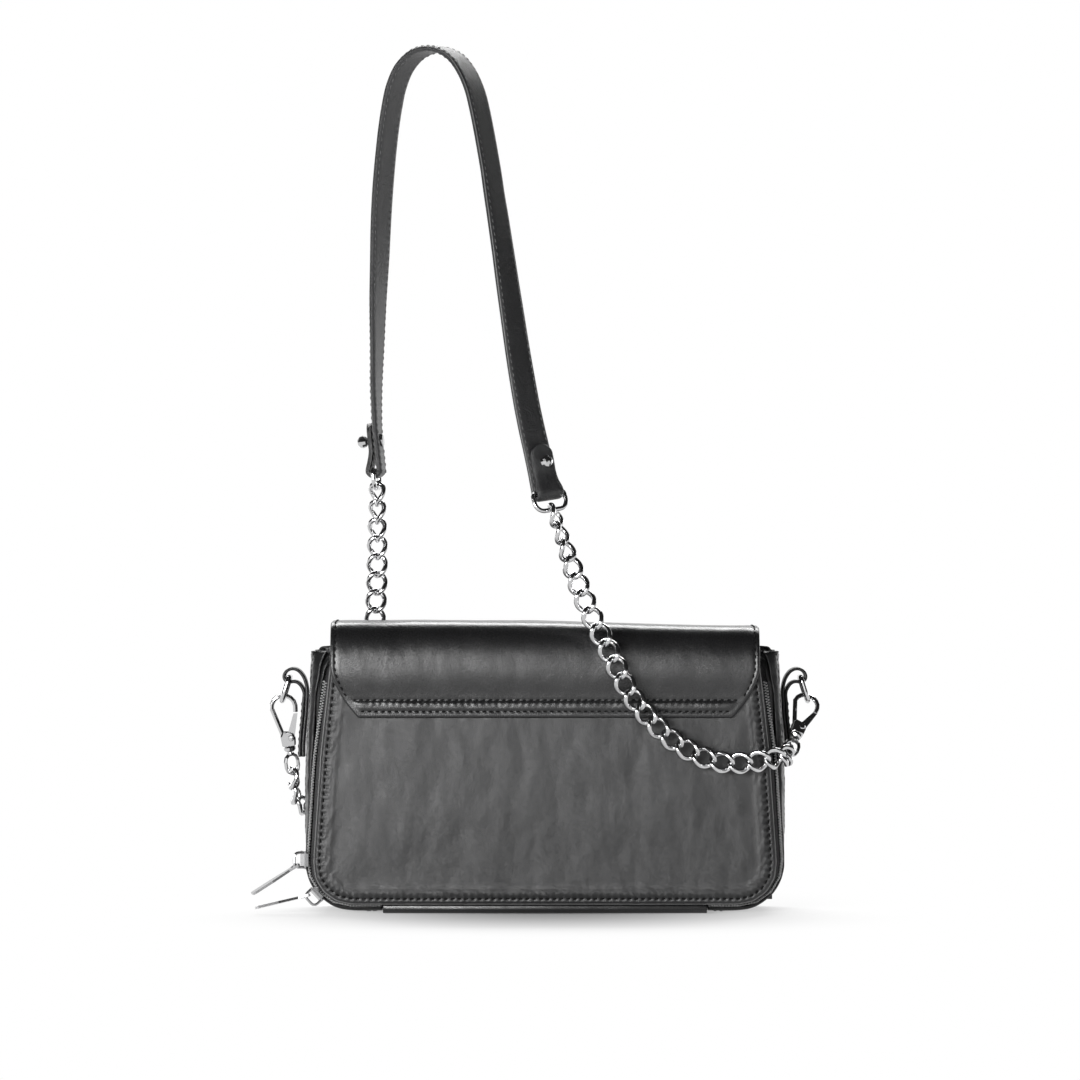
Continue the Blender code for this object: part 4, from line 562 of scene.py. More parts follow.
zipFrontWays = [
    (0.0, 1.0, 0.1), (0.01, 1.0, 0.1), (0.04, 1.0, 0.09), (0.07, 1.0, 0.07), (0.09, 1.0, 0.03), (0.1, 1.0, 0.0),
    (0.1, 1.0, -0.01), (0.1, 1.0, -0.01), (0.1, 1.0, -0.01), (0.1, 1.0, -0.01), (0.06, 1.0, -0.01),
    (-0.1, 0.99, 0.02), (-0.43, 0.9, 0.07), (-0.67, 0.74, 0.11), (-0.75, 0.65, 0.13), (-0.79, 0.58, 0.19),
    (-0.75, 0.5, 0.43), (-0.47, 0.69, 0.56), (-0.01, 1.0, 0.04), (0.0, 1.0, -0.1),
]
zipRearWays = [
    (0.0, -0.96, 0.28), (0.02, -0.95, 0.3), (0.16, -0.92, 0.36), (0.38, -0.85, 0.36), (0.61, -0.76, 0.22),
    (0.72, -0.69, 0.0), (0.74, -0.67, -0.04), (0.76, -0.65, -0.05), (0.74, -0.67, -0.06), (0.73, -0.68, -0.08),
    (0.72, -0.69, -0.1), (0.72, -0.69, -0.12), (0.65, -0.75, -0.11), (0.56, -0.82, -0.09), (0.45, -0.89, -0.08),
    (0.33, -0.94, -0.08), (0.35, -0.92, -0.2), (0.33, -0.86, -0.39), (0.21, -0.78, -0.58), (0.0, -0.71, -0.7),
]
# each section of the side wall: x and z of its flat parts, x and z of the folded middle, x, y and z at the zip
wallSections = [
    (-82.0, 0.7, -82.0, 0.7, -82.0, -21.6, 2.4), (-96.7, 0.7, -96.7, 0.7, -97.5, -21.6, 2.4),
    (-105.7, 2.5, -105.7, 2.5, -106.5, -21.6, 4.3), (-113.3, 7.7, -113.3, 7.7, -114.2, -21.6, 9.7),
    (-118.2, 15.4, -118.2, 15.4, -119.0, -21.6, 17.6), (-119.7, 24.4, -119.7, 24.4, -120.4, -21.6, 26.7),
    (-119.0, 46.9, -115.5, 46.7, -119.2, -21.6, 47.0), (-118.4, 67.1, -114.9, 66.9, -117.9, -21.6, 67.2),
    (-118.2, 73.5, -114.7, 73.2, -117.5, -21.6, 73.6), (-118.0, 80.0, -114.5, 79.6, -116.8, -21.6, 80.1),
    (-117.8, 86.4, -114.3, 85.9, -116.2, -21.6, 86.5), (-117.5, 92.7, -114.1, 92.2, -115.9, -21.9, 93.0),
    (-117.3, 101.0, -113.8, 100.4, -115.8, -22.7, 101.5), (-117.0, 109.2, -113.6, 108.6, -115.2, -23.8, 109.8),
    (-116.8, 117.4, -113.3, 116.8, -114.0, -24.3, 118.1), (-116.5, 125.6, -113.1, 124.8, -112.7, -24.6, 126.7),
    (-116.3, 130.9, -113.3, 129.2, -110.5, -25.1, 133.1), (-116.3, 132.0, -113.5, 130.0, -109.3, -24.8, 134.4),
]
flapRear = [
    (-35.5, 98.0), (-35.6, 101.0), (-35.3, 104.5), (-34.9, 107.5), (-35.8, 112.0), (-36.6, 118.0), (-36.7, 122.0),
    (-36.4, 128.0), (-35.7, 133.0), (-33.7, 139.0), (-30.9, 143.2), (-27.4, 145.4), (-23.4, 146.3),
]
flapFront = [
    (-18.0, 146.0), (-8.0, 146.4), (0.0, 146.4), (15.5, 146.0), (24.8, 144.8), (30.4, 141.3), (33.2, 136.7),
    (34.0, 129.4), (34.2, 108.8), (34.2, 88.2), (34.2, 70.6), (34.1, 61.7), (34.0, 54.4), (34.0, 47.8),
    (33.9, 44.1), (33.9, 42.0),
]
strapPath = [
    (-89.8, 32.6, 246.8, 0.14, 0.99, 0.01), (-89.3, 32.6, 242.0, 0.14, 0.99, 0.01),
    (-88.8, 32.5, 237.2, 0.14, 0.99, 0.01), (-88.3, 32.5, 232.4, 0.14, 0.99, 0.01),
    (-88.9, 32.6, 227.5, 0.14, 0.99, 0.01), (-89.8, 32.8, 222.6, 0.14, 0.99, 0.01),
    (-89.3, 32.8, 221.2, 0.14, 0.99, 0.01), (-88.1, 32.6, 220.2, 0.14, 0.99, 0.01),
    (-86.6, 32.4, 220.0, 0.14, 0.99, 0.01), (-85.2, 32.2, 220.5, 0.14, 0.99, 0.01),
    (-84.2, 32.0, 221.7, 0.14, 0.99, 0.01), (-84.0, 32.0, 223.2, 0.14, 0.99, 0.01),
    (-85.1, 32.1, 234.1, 0.15, 0.99, 0.01), (-86.1, 32.0, 245.1, 0.17, 0.98, 0.03),
    (-86.4, 31.5, 256.0, 0.21, 0.98, 0.06), (-86.5, 30.8, 266.9, 0.27, 0.96, 0.08),
    (-86.2, 29.7, 277.8, 0.32, 0.94, 0.09), (-85.9, 28.5, 288.7, 0.38, 0.92, 0.09),
    (-85.7, 27.3, 299.6, 0.44, 0.89, 0.1), (-85.4, 25.9, 310.5, 0.5, 0.86, 0.1),
    (-84.9, 24.2, 321.3, 0.55, 0.83, 0.11), (-84.4, 22.4, 332.1, 0.59, 0.8, 0.1),
    (-84.0, 20.7, 343.0, 0.62, 0.78, 0.09), (-83.5, 19.0, 353.8, 0.64, 0.76, 0.09),
    (-82.8, 17.2, 364.6, 0.65, 0.75, 0.08), (-81.9, 15.4, 375.3, 0.65, 0.75, 0.08),
    (-80.8, 13.4, 386.1, 0.65, 0.76, 0.07), (-79.5, 11.4, 396.8, 0.65, 0.76, 0.06),
    (-77.8, 9.2, 407.4, 0.65, 0.76, 0.04), (-75.4, 6.7, 417.8, 0.64, 0.77, 0.0),
    (-71.0, 3.4, 427.2, 0.6, 0.79, -0.05), (-63.6, -1.1, 433.8, 0.53, 0.85, -0.06),
    (-54.3, -6.5, 435.2, 0.5, 0.87, 0.02), (-45.6, -11.5, 431.1, 0.58, 0.81, 0.06),
    (-39.6, -16.0, 423.2, 0.63, 0.78, 0.02), (-35.4, -19.2, 413.5, 0.64, 0.77, 0.0),
    (-32.8, -21.6, 403.2, 0.65, 0.76, -0.02), (-30.7, -23.9, 392.7, 0.65, 0.76, -0.04),
    (-28.8, -26.1, 382.1, 0.65, 0.76, -0.04), (-27.0, -28.0, 371.5, 0.65, 0.76, -0.03),
    (-25.5, -29.9, 360.8, 0.66, 0.75, -0.03), (-23.8, -31.7, 350.1, 0.68, 0.73, -0.02),
    (-22.2, -33.4, 339.4, 0.7, 0.72, -0.01), (-20.6, -35.0, 328.6, 0.72, 0.7, 0.0),
    (-19.1, -36.5, 317.9, 0.74, 0.67, 0.02), (-17.5, -37.9, 307.1, 0.76, 0.64, 0.03),
    (-15.9, -39.3, 296.4, 0.79, 0.62, 0.04), (-14.3, -40.5, 285.6, 0.81, 0.59, 0.05),
    (-12.6, -41.8, 274.8, 0.83, 0.56, 0.07), (-10.8, -43.1, 264.1, 0.84, 0.53, 0.08),
    (-8.9, -44.4, 253.4, 0.85, 0.51, 0.1), (-6.7, -45.8, 242.7, 0.86, 0.49, 0.14),
    (-4.3, -46.6, 232.1, 0.87, 0.47, 0.16), (-2.0, -47.1, 221.4, 0.88, 0.45, 0.15),
    (0.0, -47.5, 210.6, 0.88, 0.45, 0.14), (0.4, -47.9, 209.2, 0.88, 0.45, 0.14),
    (1.1, -48.9, 208.2, 0.88, 0.45, 0.14), (1.8, -50.2, 208.0, 0.88, 0.45, 0.14),
    (2.4, -51.5, 208.6, 0.88, 0.45, 0.14), (2.7, -52.5, 209.7, 0.88, 0.45, 0.14),
    (2.6, -52.8, 211.2, 0.88, 0.45, 0.14), (1.1, -51.3, 215.8, 0.88, 0.45, 0.14),
    (-0.3, -50.1, 220.4, 0.88, 0.45, 0.14), (-1.1, -50.0, 225.1, 0.88, 0.45, 0.14),
    (-2.0, -49.8, 229.9, 0.88, 0.45, 0.14), (-2.9, -49.6, 234.6, 0.88, 0.45, 0.14),
]
chainLeft = [
    (-86.0, 32.7, 210.6, 0.8, 0.6, 0.07), (-86.0, 33.8, 201.5, 0.75, 0.65, 0.08),
    (-86.1, 34.9, 192.3, 0.61, 0.78, 0.09), (-86.1, 36.0, 183.2, 0.39, 0.92, 0.1),
    (-86.2, 37.1, 174.0, 0.16, 0.98, 0.09), (-86.4, 37.8, 164.9, 0.02, 1.0, 0.06),
    (-86.8, 38.1, 155.7, 0.0, 1.0, 0.02), (-87.3, 38.1, 146.5, 0.0, 1.0, 0.01),
    (-87.6, 38.3, 137.3, 0.0, 1.0, 0.02), (-87.8, 38.5, 128.1, 0.0, 1.0, 0.02),
    (-88.3, 38.7, 118.9, 0.0, 1.0, 0.02), (-89.2, 38.8, 109.8, 0.0, 1.0, 0.01),
    (-90.4, 38.9, 100.7, 0.0, 1.0, 0.01), (-91.9, 39.0, 91.6, 0.0, 1.0, 0.01), (-93.9, 39.1, 82.6, 0.0, 1.0, 0.01),
    (-96.4, 39.1, 73.8, 0.0, 1.0, 0.01), (-99.5, 39.2, 65.1, -0.01, 1.0, -0.01),
    (-103.7, 38.8, 57.0, -0.08, 0.99, -0.06), (-110.2, 37.3, 50.7, -0.35, 0.94, 0.0),
    (-118.1, 33.5, 48.9, -0.56, 0.83, -0.02), (-124.6, 27.6, 51.7, -0.83, 0.49, -0.27),
    (-127.9, 21.8, 57.7, -0.98, 0.12, -0.15), (-127.9, 17.0, 65.5, -1.0, 0.0, 0.0),
]
chainRight = [
    (4.7, -51.6, 199.3, 0.91, -0.33, 0.24), (7.6, -49.8, 190.8, 0.89, -0.41, 0.21),
    (10.5, -47.9, 182.2, 0.77, -0.62, 0.14), (13.5, -46.2, 173.7, 0.51, -0.86, 0.04),
    (16.6, -45.1, 165.1, 0.2, -0.98, 0.02), (20.0, -45.3, 156.6, 0.0, -1.0, 0.06),
    (23.7, -46.2, 148.2, -0.03, -1.0, 0.06), (27.7, -46.4, 139.9, -0.01, -1.0, 0.02),
    (31.8, -46.5, 131.7, 0.0, -1.0, -0.01), (35.8, -46.3, 123.4, 0.01, -1.0, -0.03),
    (39.8, -45.9, 115.1, 0.03, -1.0, -0.05), (44.6, -45.3, 107.3, 0.05, -1.0, -0.07),
    (50.3, -44.4, 100.1, 0.06, -1.0, -0.07), (56.5, -43.5, 93.4, 0.06, -1.0, -0.06),
    (63.4, -42.8, 87.4, 0.05, -1.0, -0.04), (71.1, -42.3, 82.4, 0.03, -1.0, -0.01),
    (79.4, -42.2, 78.4, 0.01, -1.0, 0.0), (88.3, -42.2, 76.1, 0.02, -1.0, 0.0),
    (97.4, -41.8, 75.7, 0.1, -0.99, -0.01), (106.5, -40.3, 76.6, 0.31, -0.95, -0.09),
    (114.6, -36.3, 77.8, 0.59, -0.79, -0.13), (121.0, -29.8, 78.9, 0.88, -0.47, -0.03),
    (122.6, -21.4, 78.9, 0.98, -0.19, 0.0),
]


def bothSides(half):
    return half + [(-first, *others) for first, *others in reversed(half)]


zipPath, panelPath = bothSides(zipPathHalf), bothSides(panelPathHalf)
zipFrontWays, zipRearWays = bothSides(zipFrontWays), bothSides(zipRearWays)
wallDepths = (27.3, 16.4, 0.0, -11.8, -19.6)
wallRows = []
for x, z, foldX, foldZ, *atZip in wallSections:
    wallRows.append([(x, y, z) for y in wallDepths[:2]] + [(foldX, wallDepths[2], foldZ)]
                    + [(x, y, z) for y in wallDepths[3:]] + [tuple(atZip)])


def flat(points):
    return [Vector((x * mm, z * mm)) for x, z in points]


def inwardWays(line):
    ways = []
    for n in range(len(line)):
        along = (line[(n + 1) % len(line)] - line[n - 1]).normalized()
        ways.append(Vector((along.y, -along.x)))
    return ways


def insetRings(outline, insets, middleHalf, middleZ):
    # rings inside a closed outline: first straight in, then drawn to a middle line
    ways = smoothLine(inwardWays(outline), 40, True)
    centre = sum(outline, Vector((0.0, 0.0))) / len(outline)
    if ways[0].dot(centre - outline[0]) < 0:
        ways = [-w for w in ways]
    straight = 15.0 * mm
    rings = []
    for inset in insets:
        ring = []
        for p, w in zip(outline, ways):
            near = p + w.normalized() * min(inset, straight)
            share = max(inset - straight, 0.0) / (insets[-1] - straight)
            goal = Vector((min(max(near.x, -middleHalf), middleHalf), middleZ))
            ring.append(near.lerp(goal, share))
        rings.append(ring)
    return rings


panelInsets = [0.0, 0.25, 0.6, 1.0, 1.5, 2.0, 2.5, 3.0, 3.5, 4.0, 4.6, 5.2, 5.8, 6.4, 7.0, 7.6, 8.2, 9.0, 10.0,
               11.5, 13.0, 15.0, 18.0, 22.0, 27.0, 32.0, 38.0, 44.0, 50.0, 56.0, 61.0, 64.0]
backInsets = (21, 26, -1)


def panelPiece(name, outline, side, s, body, replaced):
    # a stitched panel with a turned edge, a sunk seam, a ridge inside it and small puckers along the seam
    faceY = s["faceY"] * mm
    insets = [v * mm for v in panelInsets]
    middleZ = (min(p.y for p in outline) + max(p.y for p in outline)) / 2
    rings = insetRings(outline, insets, s["middleHalf"] * mm, middleZ)
    count = len(outline)
    step = sum((outline[(n + 1) % count] - outline[n]).length for n in range(count)) / count
    seam = insetRings(outline, [s["seamInset"] * mm, insets[-1]], s["middleHalf"] * mm, middleZ)[0]
    runs = runLengths(seam + seam[:1])
    turns = 2 * math.pi * int(runs[-1] / (s["pitch"] * mm)) / runs[-1]
    verts = []
    for inset, ring in zip(insets, rings):
        d = inset / mm
        out = 1 - min(d / s["edgeRound"], 1.0)
        edge = 0.3 * (1 - math.sqrt(max(1 - out ** 2, 0.0))) + 0.7 * out
        lift = -s["edgeDrop"] * edge
        sunk = s["seamDepth"] * bump(d, s["seamInset"], 0.8)
        lift += s["puff"] * smoothStep((d - s["seamInset"]) / 3.0) * (1 - 0.5 * smoothStep((d - 6.0) / 3.0))
        lift += s["ridge"] * bump(d, s["ridgeInset"], 0.9)
        lift += s["crown"] * smoothStep((d - 4.0) / 44.0)
        for n, p in enumerate(ring):
            run = n * step / mm
            pucker = wave(run * 0.16 - d * 0.35, d * 0.10, s["seed"])
            pucker += 0.6 * wave(run * 0.33 - d * 0.5, d * 0.2, s["seed"] + 7)
            pucker *= s["pucker"] * smoothStep((d - s["seamInset"]) / 1.5) * math.exp(-max(d - 5.0, 0.0) / 6.0)
            within = smoothStep((d - 6) / 12)
            soft = s["soft"] * wave(p.x * 22, p.y * 22, s["seed"] + 3) * within
            soft += s["soft"] * 0.5 * wave(p.x * 55, p.y * 55, s["seed"] + 5) * within
            # each stitch pulls the seam down, and fans the leather beside it
            between = math.cos(runs[n] * turns)
            pulled = sunk * (0.6 - 0.4 * between)
            fan = bump(d, s["seamInset"] + 1.5, 1.1) + 0.6 * bump(d, s["seamInset"] - 1.1, 0.6)
            fan *= -s["pucker"] * 0.45 * between
            verts.append(Vector((p.x, faceY + side * (lift - pulled - fan + pucker + soft) * mm, p.y)))
    base = len(verts)
    backs = rings[0], rings[4]
    for depth, ring in zip((s["thickness"] - 0.5, s["thickness"]), backs):
        verts += [Vector((p.x, faceY - side * depth * mm, p.y)) for p in ring]
    faces = gridFaces(len(insets), count, True)
    faces += gridFaces(2, count, True, base) + bandFaces(0, base, count)
    # the flat back, drawn to the middle as the face is
    deep = base + count
    last = len(verts)
    for k in backInsets:
        verts += [Vector((p.x, faceY - side * s["thickness"] * mm, p.y)) for p in rings[k]]
    faces += gridFaces(len(backInsets), count, True, last) + bandFaces(deep, last, count)
    verts, faces = outwardFaces(verts, faces)
    piece = newPiece(name, verts, faces, panelLeather, body, [replaced])
    # the outermost rings of the turned edge are painted paler: a painted highlight on the rolled edge
    piece.data.materials.append(paintedEdgeHighlight)
    for polygon in list(piece.data.polygons)[:2 * count]:
        polygon.material_index = 1
    path = [Vector((p.x, faceY + side * (-s["seamDepth"] * 0.55 + 0.1) * mm, p.y)) for p in seam + seam[:1]]
    stitchPiece(name + "Stitches", path, [Vector((0, side, 0))] * len(path), body)


# a stitch in millimetres: from one to the next, its length, its width and how deep it is drawn in
stitchSize = {"pitch": 3.4, "length": 2.1, "wide": 0.72, "sink": 0.0}


def stitchPiece(name, path, outs, body, **changes):
    size = {**stitchSize, **changes}
    verts, faces = stitches(path, outs, *(size[key] * mm for key in stitchSize))
    return newPiece(name, verts, faces, thread, body)


# rear panel: what lies over the zip and faces the camera
rearPanel = {
    "middleHalf": 52.0, "edgeRound": 1.7, "edgeDrop": 1.6, "seamInset": 3.0, "seamDepth": 0.55, "puff": 0.55,
    "ridge": 0.24, "ridgeInset": 8.2, "crown": 1.0, "pucker": 0.30, "soft": 0.55, "seed": 2.0, "thickness": 2.0,
    "pitch": 3.4, "points": 1400, "faceY": -32.4,
}
outline = smoothLine(resample(flat(panelPath), rearPanel["points"], True), 12, True)
panelPiece("rearPanel", outline, -1, rearPanel, "rear_panel", "back_panel")
print("rear panel made")

# front panel, hidden by the flap but finished the same way
frontPanel = dict(rearPanel, faceY=30.2, seed=9.0, crown=0.8)
corners = [(-119.8, 1.6), (-115.9, 132.4), (-106.5, 133.2), (-98.0, 138.4)]
corners += [(-x, z) for x, z in reversed(corners)]
radii = [21.0, 2.5, 8.0, 8.0, 8.0, 8.0, 2.5, 21.0]


def roundCorners(corners, radii, steps=14):
    made = []
    count = len(corners)
    points = [Vector(p) for p in corners]
    for n, (p, r) in enumerate(zip(points, radii)):
        before = (points[n - 1] - p).normalized()
        after = (points[(n + 1) % count] - p).normalized()
        half = before.angle(after) / 2
        reach = r / math.tan(half)
        a, b = p + before * reach, p + after * reach
        middle = p + (before + after).normalized() * (r / math.sin(half))
        start, end = a - middle, b - middle
        total = start.angle_signed(end)
        for k in range(steps + 1):
            turn = -total * k / steps
            made.append(middle + Matrix.Rotation(turn, 2) @ start)
    return made


outline = resample([Vector(p) * mm for p in roundCorners(corners, radii)], frontPanel["points"], True)
panelPiece("frontPanel", outline, 1, frontPanel, "body", "front_panel")
print("front panel made")

# flap: one piece of leather from its stitched rear end over the top to its front edge
flapCover = {
    "half": 107.5, "rearEnd": 97.8, "rearCorner": 26.0, "rearTip": 93.2, "frontEnd": 42.0, "frontCorner": 24.0,
    "frontTip": 84.0, "thickness": 1.4, "seamLow": 3.2, "seamHigh": 8.9, "puff": 0.42, "edgeSeam": 2.4,
    "droop": 2.6, "hinge": 138.6, "rimWidth": 1.4, "rimDrop": 0.9, "seamEnds": 0.965, "frontEnds": 0.97,
    "spacing": 1.6, "bendFrom": -33.3, "bendTo": -24.0,
}


def flapHalf(z, atRear):
    f = flapCover
    end, corner, tip = ((f["rearEnd"], f["rearCorner"], f["rearTip"]) if atRear
                        else (f["frontEnd"], f["frontCorner"], f["frontTip"]))
    t = min(max((z - end) / corner, 0.0), 1.0)
    if atRear:
        return tip + (f["half"] - tip) * (1 - (1 - t) ** 1.7)
    return tip + (f["half"] - tip) * math.sqrt(max(1 - (1 - t) ** 2.2, 0.0))


line = smoothLine(curveThrough([Vector((0.0, y * mm, z * mm)) for y, z in flapRear + flapFront], 400), 60)
lengths = runLengths(line)
top = lengths[max(range(len(line)), key=lambda n: line[n].z)]


def lineAt(distance):
    k, share = stretchAt(lengths, min(max(distance, 0.0), lengths[-1]))
    return line[k].lerp(line[k + 1], share), (line[k + 1] - line[k]).normalized()


# stations along the flap, finer along the stitched rear end, and shares of its width, finer at the edges
stations = [0.0, 0.25, 0.6, 1.0, 1.5, 2.0, 2.5, 3.0, 3.5, 4.1, 4.8, 5.5, 6.2, 6.9, 7.6, 8.2, 8.7, 9.2, 9.8, 10.6,
            11.6]
stations = [v * mm for v in stations]
while stations[-1] < lengths[-1] - 2 * flapCover["spacing"] * mm:
    stations.append(stations[-1] + flapCover["spacing"] * mm)
stations += [lengths[-1] - v * mm for v in (2.4, 1.6, 1.0, 0.5, 0.0)]
edgeShares = [1.0, 0.9985, 0.996, 0.992, 0.987, 0.982, 0.977, 0.972, 0.966, 0.955, 0.94, 0.92]
columns = [-v for v in edgeShares] + [-0.90 + 1.80 * k / 300 for k in range(301)] + edgeShares[::-1]


def flapPoint(distance, share, extra=0.0):
    place, along = lineAt(distance)
    out = Vector((0.0, -along.z, along.y))
    if out.y > 0 and distance < top * 0.5:
        out = -out
    d = distance / mm
    half = flapHalf(place.z / mm, distance < top) * mm
    x = share * half
    fromSide = (1 - abs(share)) * half / mm
    f = flapCover
    rim = min(d, fromSide, (lengths[-1] - distance) / mm)
    lift = -f["rimDrop"] * (1 - math.sqrt(max(1 - (1 - min(rim / f["rimWidth"], 1.0)) ** 2, 0.0)))
    inside = smoothStep((fromSide - 3.0) / 3.0)
    for key in ("seamLow", "seamHigh"):
        rowLength = 2 * f["seamEnds"] * flapHalf(f["rearEnd"] + f[key], True)
        between = math.cos(2 * math.pi * int(rowLength / rearPanel["pitch"]) * (x / mm / rowLength + 0.5))
        lift -= (0.26 - 0.10 * between) * bump(d, f[key], 0.6) * inside
        if key == "seamHigh":
            lift += 0.10 * between * bump(d, f[key] - 1.5, 1.2) * inside
    strip = smoothStep((d - f["seamLow"]) / 2.0) * smoothStep((f["seamHigh"] - d) / 2.0) * inside
    lift += strip * (f["puff"] + 0.18 * wave(x / mm * 0.12, d * 0.1, 4.0)
                     + 0.07 * wave(x / mm * 0.55 + d * 0.4, d * 0.15, 6.0))
    lift -= 0.35 * bump(fromSide, f["edgeSeam"], 0.7) * smoothStep((d - 10.0) / 4.0)
    soft = 0.30 * wave(x * 24, distance * 30, 1.0)
    soft += 0.14 * wave(x * 70, distance * 60, 5.0)
    soft += 0.22 * wave(x * 130 + distance * 60, distance * 50, 8.0) * bump(d, 13.0, 4.0)
    lift += soft * smoothStep((rim - 2.0) / 8.0)
    # the far end of the fold sits a little lower, as in worn leather
    sink = f["droop"] * mm * smoothStep((x / mm + 30) / 137) * min(max((place.z / mm - 118) / 28.4, 0.0), 1.0)
    return Vector((x, place.y, place.z - sink)) + out * (lift + extra) * mm, out


grid = [[flapPoint(distance, share) for share in columns] for distance in stations]
thick = flapCover["thickness"]
verts, faces = shell([[p for p, n in row] for row in grid], [[p - n * thick * mm for p, n in row] for row in grid])
flap = newPiece("flapCover", verts, faces, shadedFlapLeather, None, ["flap_cover", "flap_rear_end"])
# the cut edges of the sheet are painted paler than its face, as a painted highlight along the edge
flap.data.materials.append(paintedEdgeHighlight)
for polygon in list(flap.data.polygons)[4 - 2 * (len(stations) + len(columns)):]:
    polygon.material_index = 1
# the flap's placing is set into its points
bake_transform(flap)


def flapStitches(name, points, body):
    piece = stitchPiece(name, [p for p, n in points], [n for p, n in points], body)
    if body is None:
        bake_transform(piece)


def acrossFlap(ends):
    return [-ends + 2 * ends * k / 240 for k in range(241)]


for word, key in (("Low", "seamLow"), ("High", "seamHigh")):
    points = [flapPoint(flapCover[key] * mm, share, 0.12) for share in acrossFlap(flapCover["seamEnds"])]
    flapStitches("flapStitches" + word, points, "rear_panel")
for side, word in ((-1.0, "Left"), (1.0, "Right")):
    points = []
    distance = 10.2 * mm
    while distance < lengths[-1] - flapCover["edgeSeam"] * mm:
        half = flapHalf(lineAt(distance)[0].z / mm, distance < top)
        points.append(flapPoint(distance, side * (1 - flapCover["edgeSeam"] / half), 0.15))
        distance += 1.5 * mm
    flapStitches("flapEdgeStitches" + word, points, None)
frontSeam = lengths[-1] - flapCover["edgeSeam"] * mm
points = [flapPoint(frontSeam, share, 0.15) for share in acrossFlap(flapCover["frontEnds"])]
flapStitches("flapFrontStitches", points, "flap")
print("flap made")

# side walls: soft, with a folded middle and crumpled leather turned in at the zip
sideWall = {
    "bulge": [(0, 0.0), (12, 0.5), (28, 1.2), (48, 2.9), (68, 3.7), (86, 3.5), (104, 2.8), (118, 1.8), (132, 1.4)],
    "level": 131.0, "bendFrom": 112.0, "thickness": 1.2, "rows": 150, "columns": 70, "wrinkle": 0.26, "fold": 0.3,
    "seamShare": 0.86, "hemShare": 0.8, "seamDepth": 0.35,
}


def bulgeAt(z):
    # how far the full wall stands out over its solid, in metres
    table = sideWall["bulge"]
    k, share = stretchAt([row[0] for row in table], z / mm)
    return (table[k][1] + (table[k + 1][1] - table[k][1]) * smoothStep(share)) * mm


def loweredTop(z, top):
    # the top of the walls and of the zip comes down to one level line
    start, level = sideWall["bendFrom"] * mm, sideWall["level"] * mm
    return z if z < start or top < level else start + (z - start) * (level - start) / (top - start)


def wallSurface(side):
    # the measured sections drawn through by smooth curves both ways
    w, fold = sideWall["wrinkle"], sideWall["fold"]
    sections = [curveThrough([Vector(v) * mm for v in row], sideWall["columns"]) for row in wallRows]
    columns = [curveThrough([section[c] for section in sections], sideWall["rows"])
               for c in range(sideWall["columns"])]
    rows = [[column[r].copy() for column in columns] for r in range(sideWall["rows"])]
    normals = gridNormals(rows)
    made = []
    for r, row in enumerate(rows):
        line = []
        for c, p in enumerate(row):
            share = c / (len(row) - 1)
            high = p.z / mm
            n = normals[r][c]
            if n.x > 0:
                n = -n
            push = w * wave(p.y * 90, p.z * 95, 3.0)
            push += 0.5 * w * wave(p.y * 210, p.z * 230, 9.0)
            push *= 0.35 + 0.65 * smoothStep((share - 0.55) / 0.2)
            nearZip = smoothStep((share - 0.72) / 0.08) * smoothStep((1 - share) / 0.03)
            push += 1.1 * w * wave(high * 0.32, share * 9.0, 5.0) * nearZip
            push -= sideWall["seamDepth"] * bump(share, sideWall["seamShare"], 0.035)
            push += fold * wave(p.y * 30, p.z * 20, 12.0) * smoothStep((high - 30) / 30)
            push *= smoothStep(share / 0.05) * 0.9 + 0.1
            q = p + n * push * mm
            q.z = loweredTop(q.z, columns[c][-1].z)
            q.x -= bulgeAt(q.z) * math.sin(math.pi * share) ** 0.6
            line.append(Vector((side * -q.x, q.y, q.z)))
        made.append(line)
    return made


for side, word in ((-1.0, "left"), (1.0, "right")):
    rows = wallSurface(side)
    verts, faces = sheetShell(rows, sideWall["thickness"] * mm, Vector((side, 0.0, 0.0)))
    newPiece("sideWall" + word.capitalize(), verts, faces, shadedGussetLeather, "body", ["side_wall_" + word])
    normals = gridNormals(rows)
    column = int(sideWall["columns"] * sideWall["seamShare"])
    outs = [line[column] for line in normals[2:]]
    outs = [way if way.x * side > 0 or abs(way.x) < 0.2 and way.z < 0 else -way for way in outs]
    stitchPiece("sideWallStitches" + word.capitalize(), [row[column] for row in rows[2:]], outs, "body",
                pitch=3.0, length=2.0, wide=0.45, sink=0.08)
    last = int(sideWall["columns"] * sideWall["hemShare"])
    outs = [way if way.x * side > 0 else -way for way in normals[-3][2:last]]
    stitchPiece("sideWallHem" + word.capitalize(), rows[-3][2:last], outs, "body",
                pitch=3.2, length=2.2, wide=0.4, sink=0.1)
print("side walls made")


# plainer sheets that keep the shape of their solid, with softened edges and a little unevenness
def softened(name, node, material, body, edge, uneven=0.12, segments=2):
    mesh = bmesh.new()
    mesh.from_mesh(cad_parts[node].data)
    bmesh.ops.remove_doubles(mesh, verts=mesh.verts, dist=0.000005)
    bmesh.ops.dissolve_limit(mesh, angle_limit=math.radians(1.0), verts=mesh.verts, edges=mesh.edges)
    sharp = [e for e in mesh.edges if len(e.link_faces) == 2 and e.calc_face_angle(0.0) > math.radians(35)]
    bmesh.ops.bevel(mesh, geom=sharp, offset=edge * mm, segments=segments, affect="EDGES", profile=0.5)
    bmesh.ops.triangulate(mesh, faces=[f for f in mesh.faces if len(f.verts) > 4])
    mesh.normal_update()
    for v in mesh.verts:
        v.co += v.normal * uneven * mm * noise.noise(v.co * 70)
    verts, faces = takeMesh(mesh)
    return newPiece(name, verts, faces, material, body, [node])


slab = {"steps": (48, 30), "puff": 0.25, "crease": 0.15}


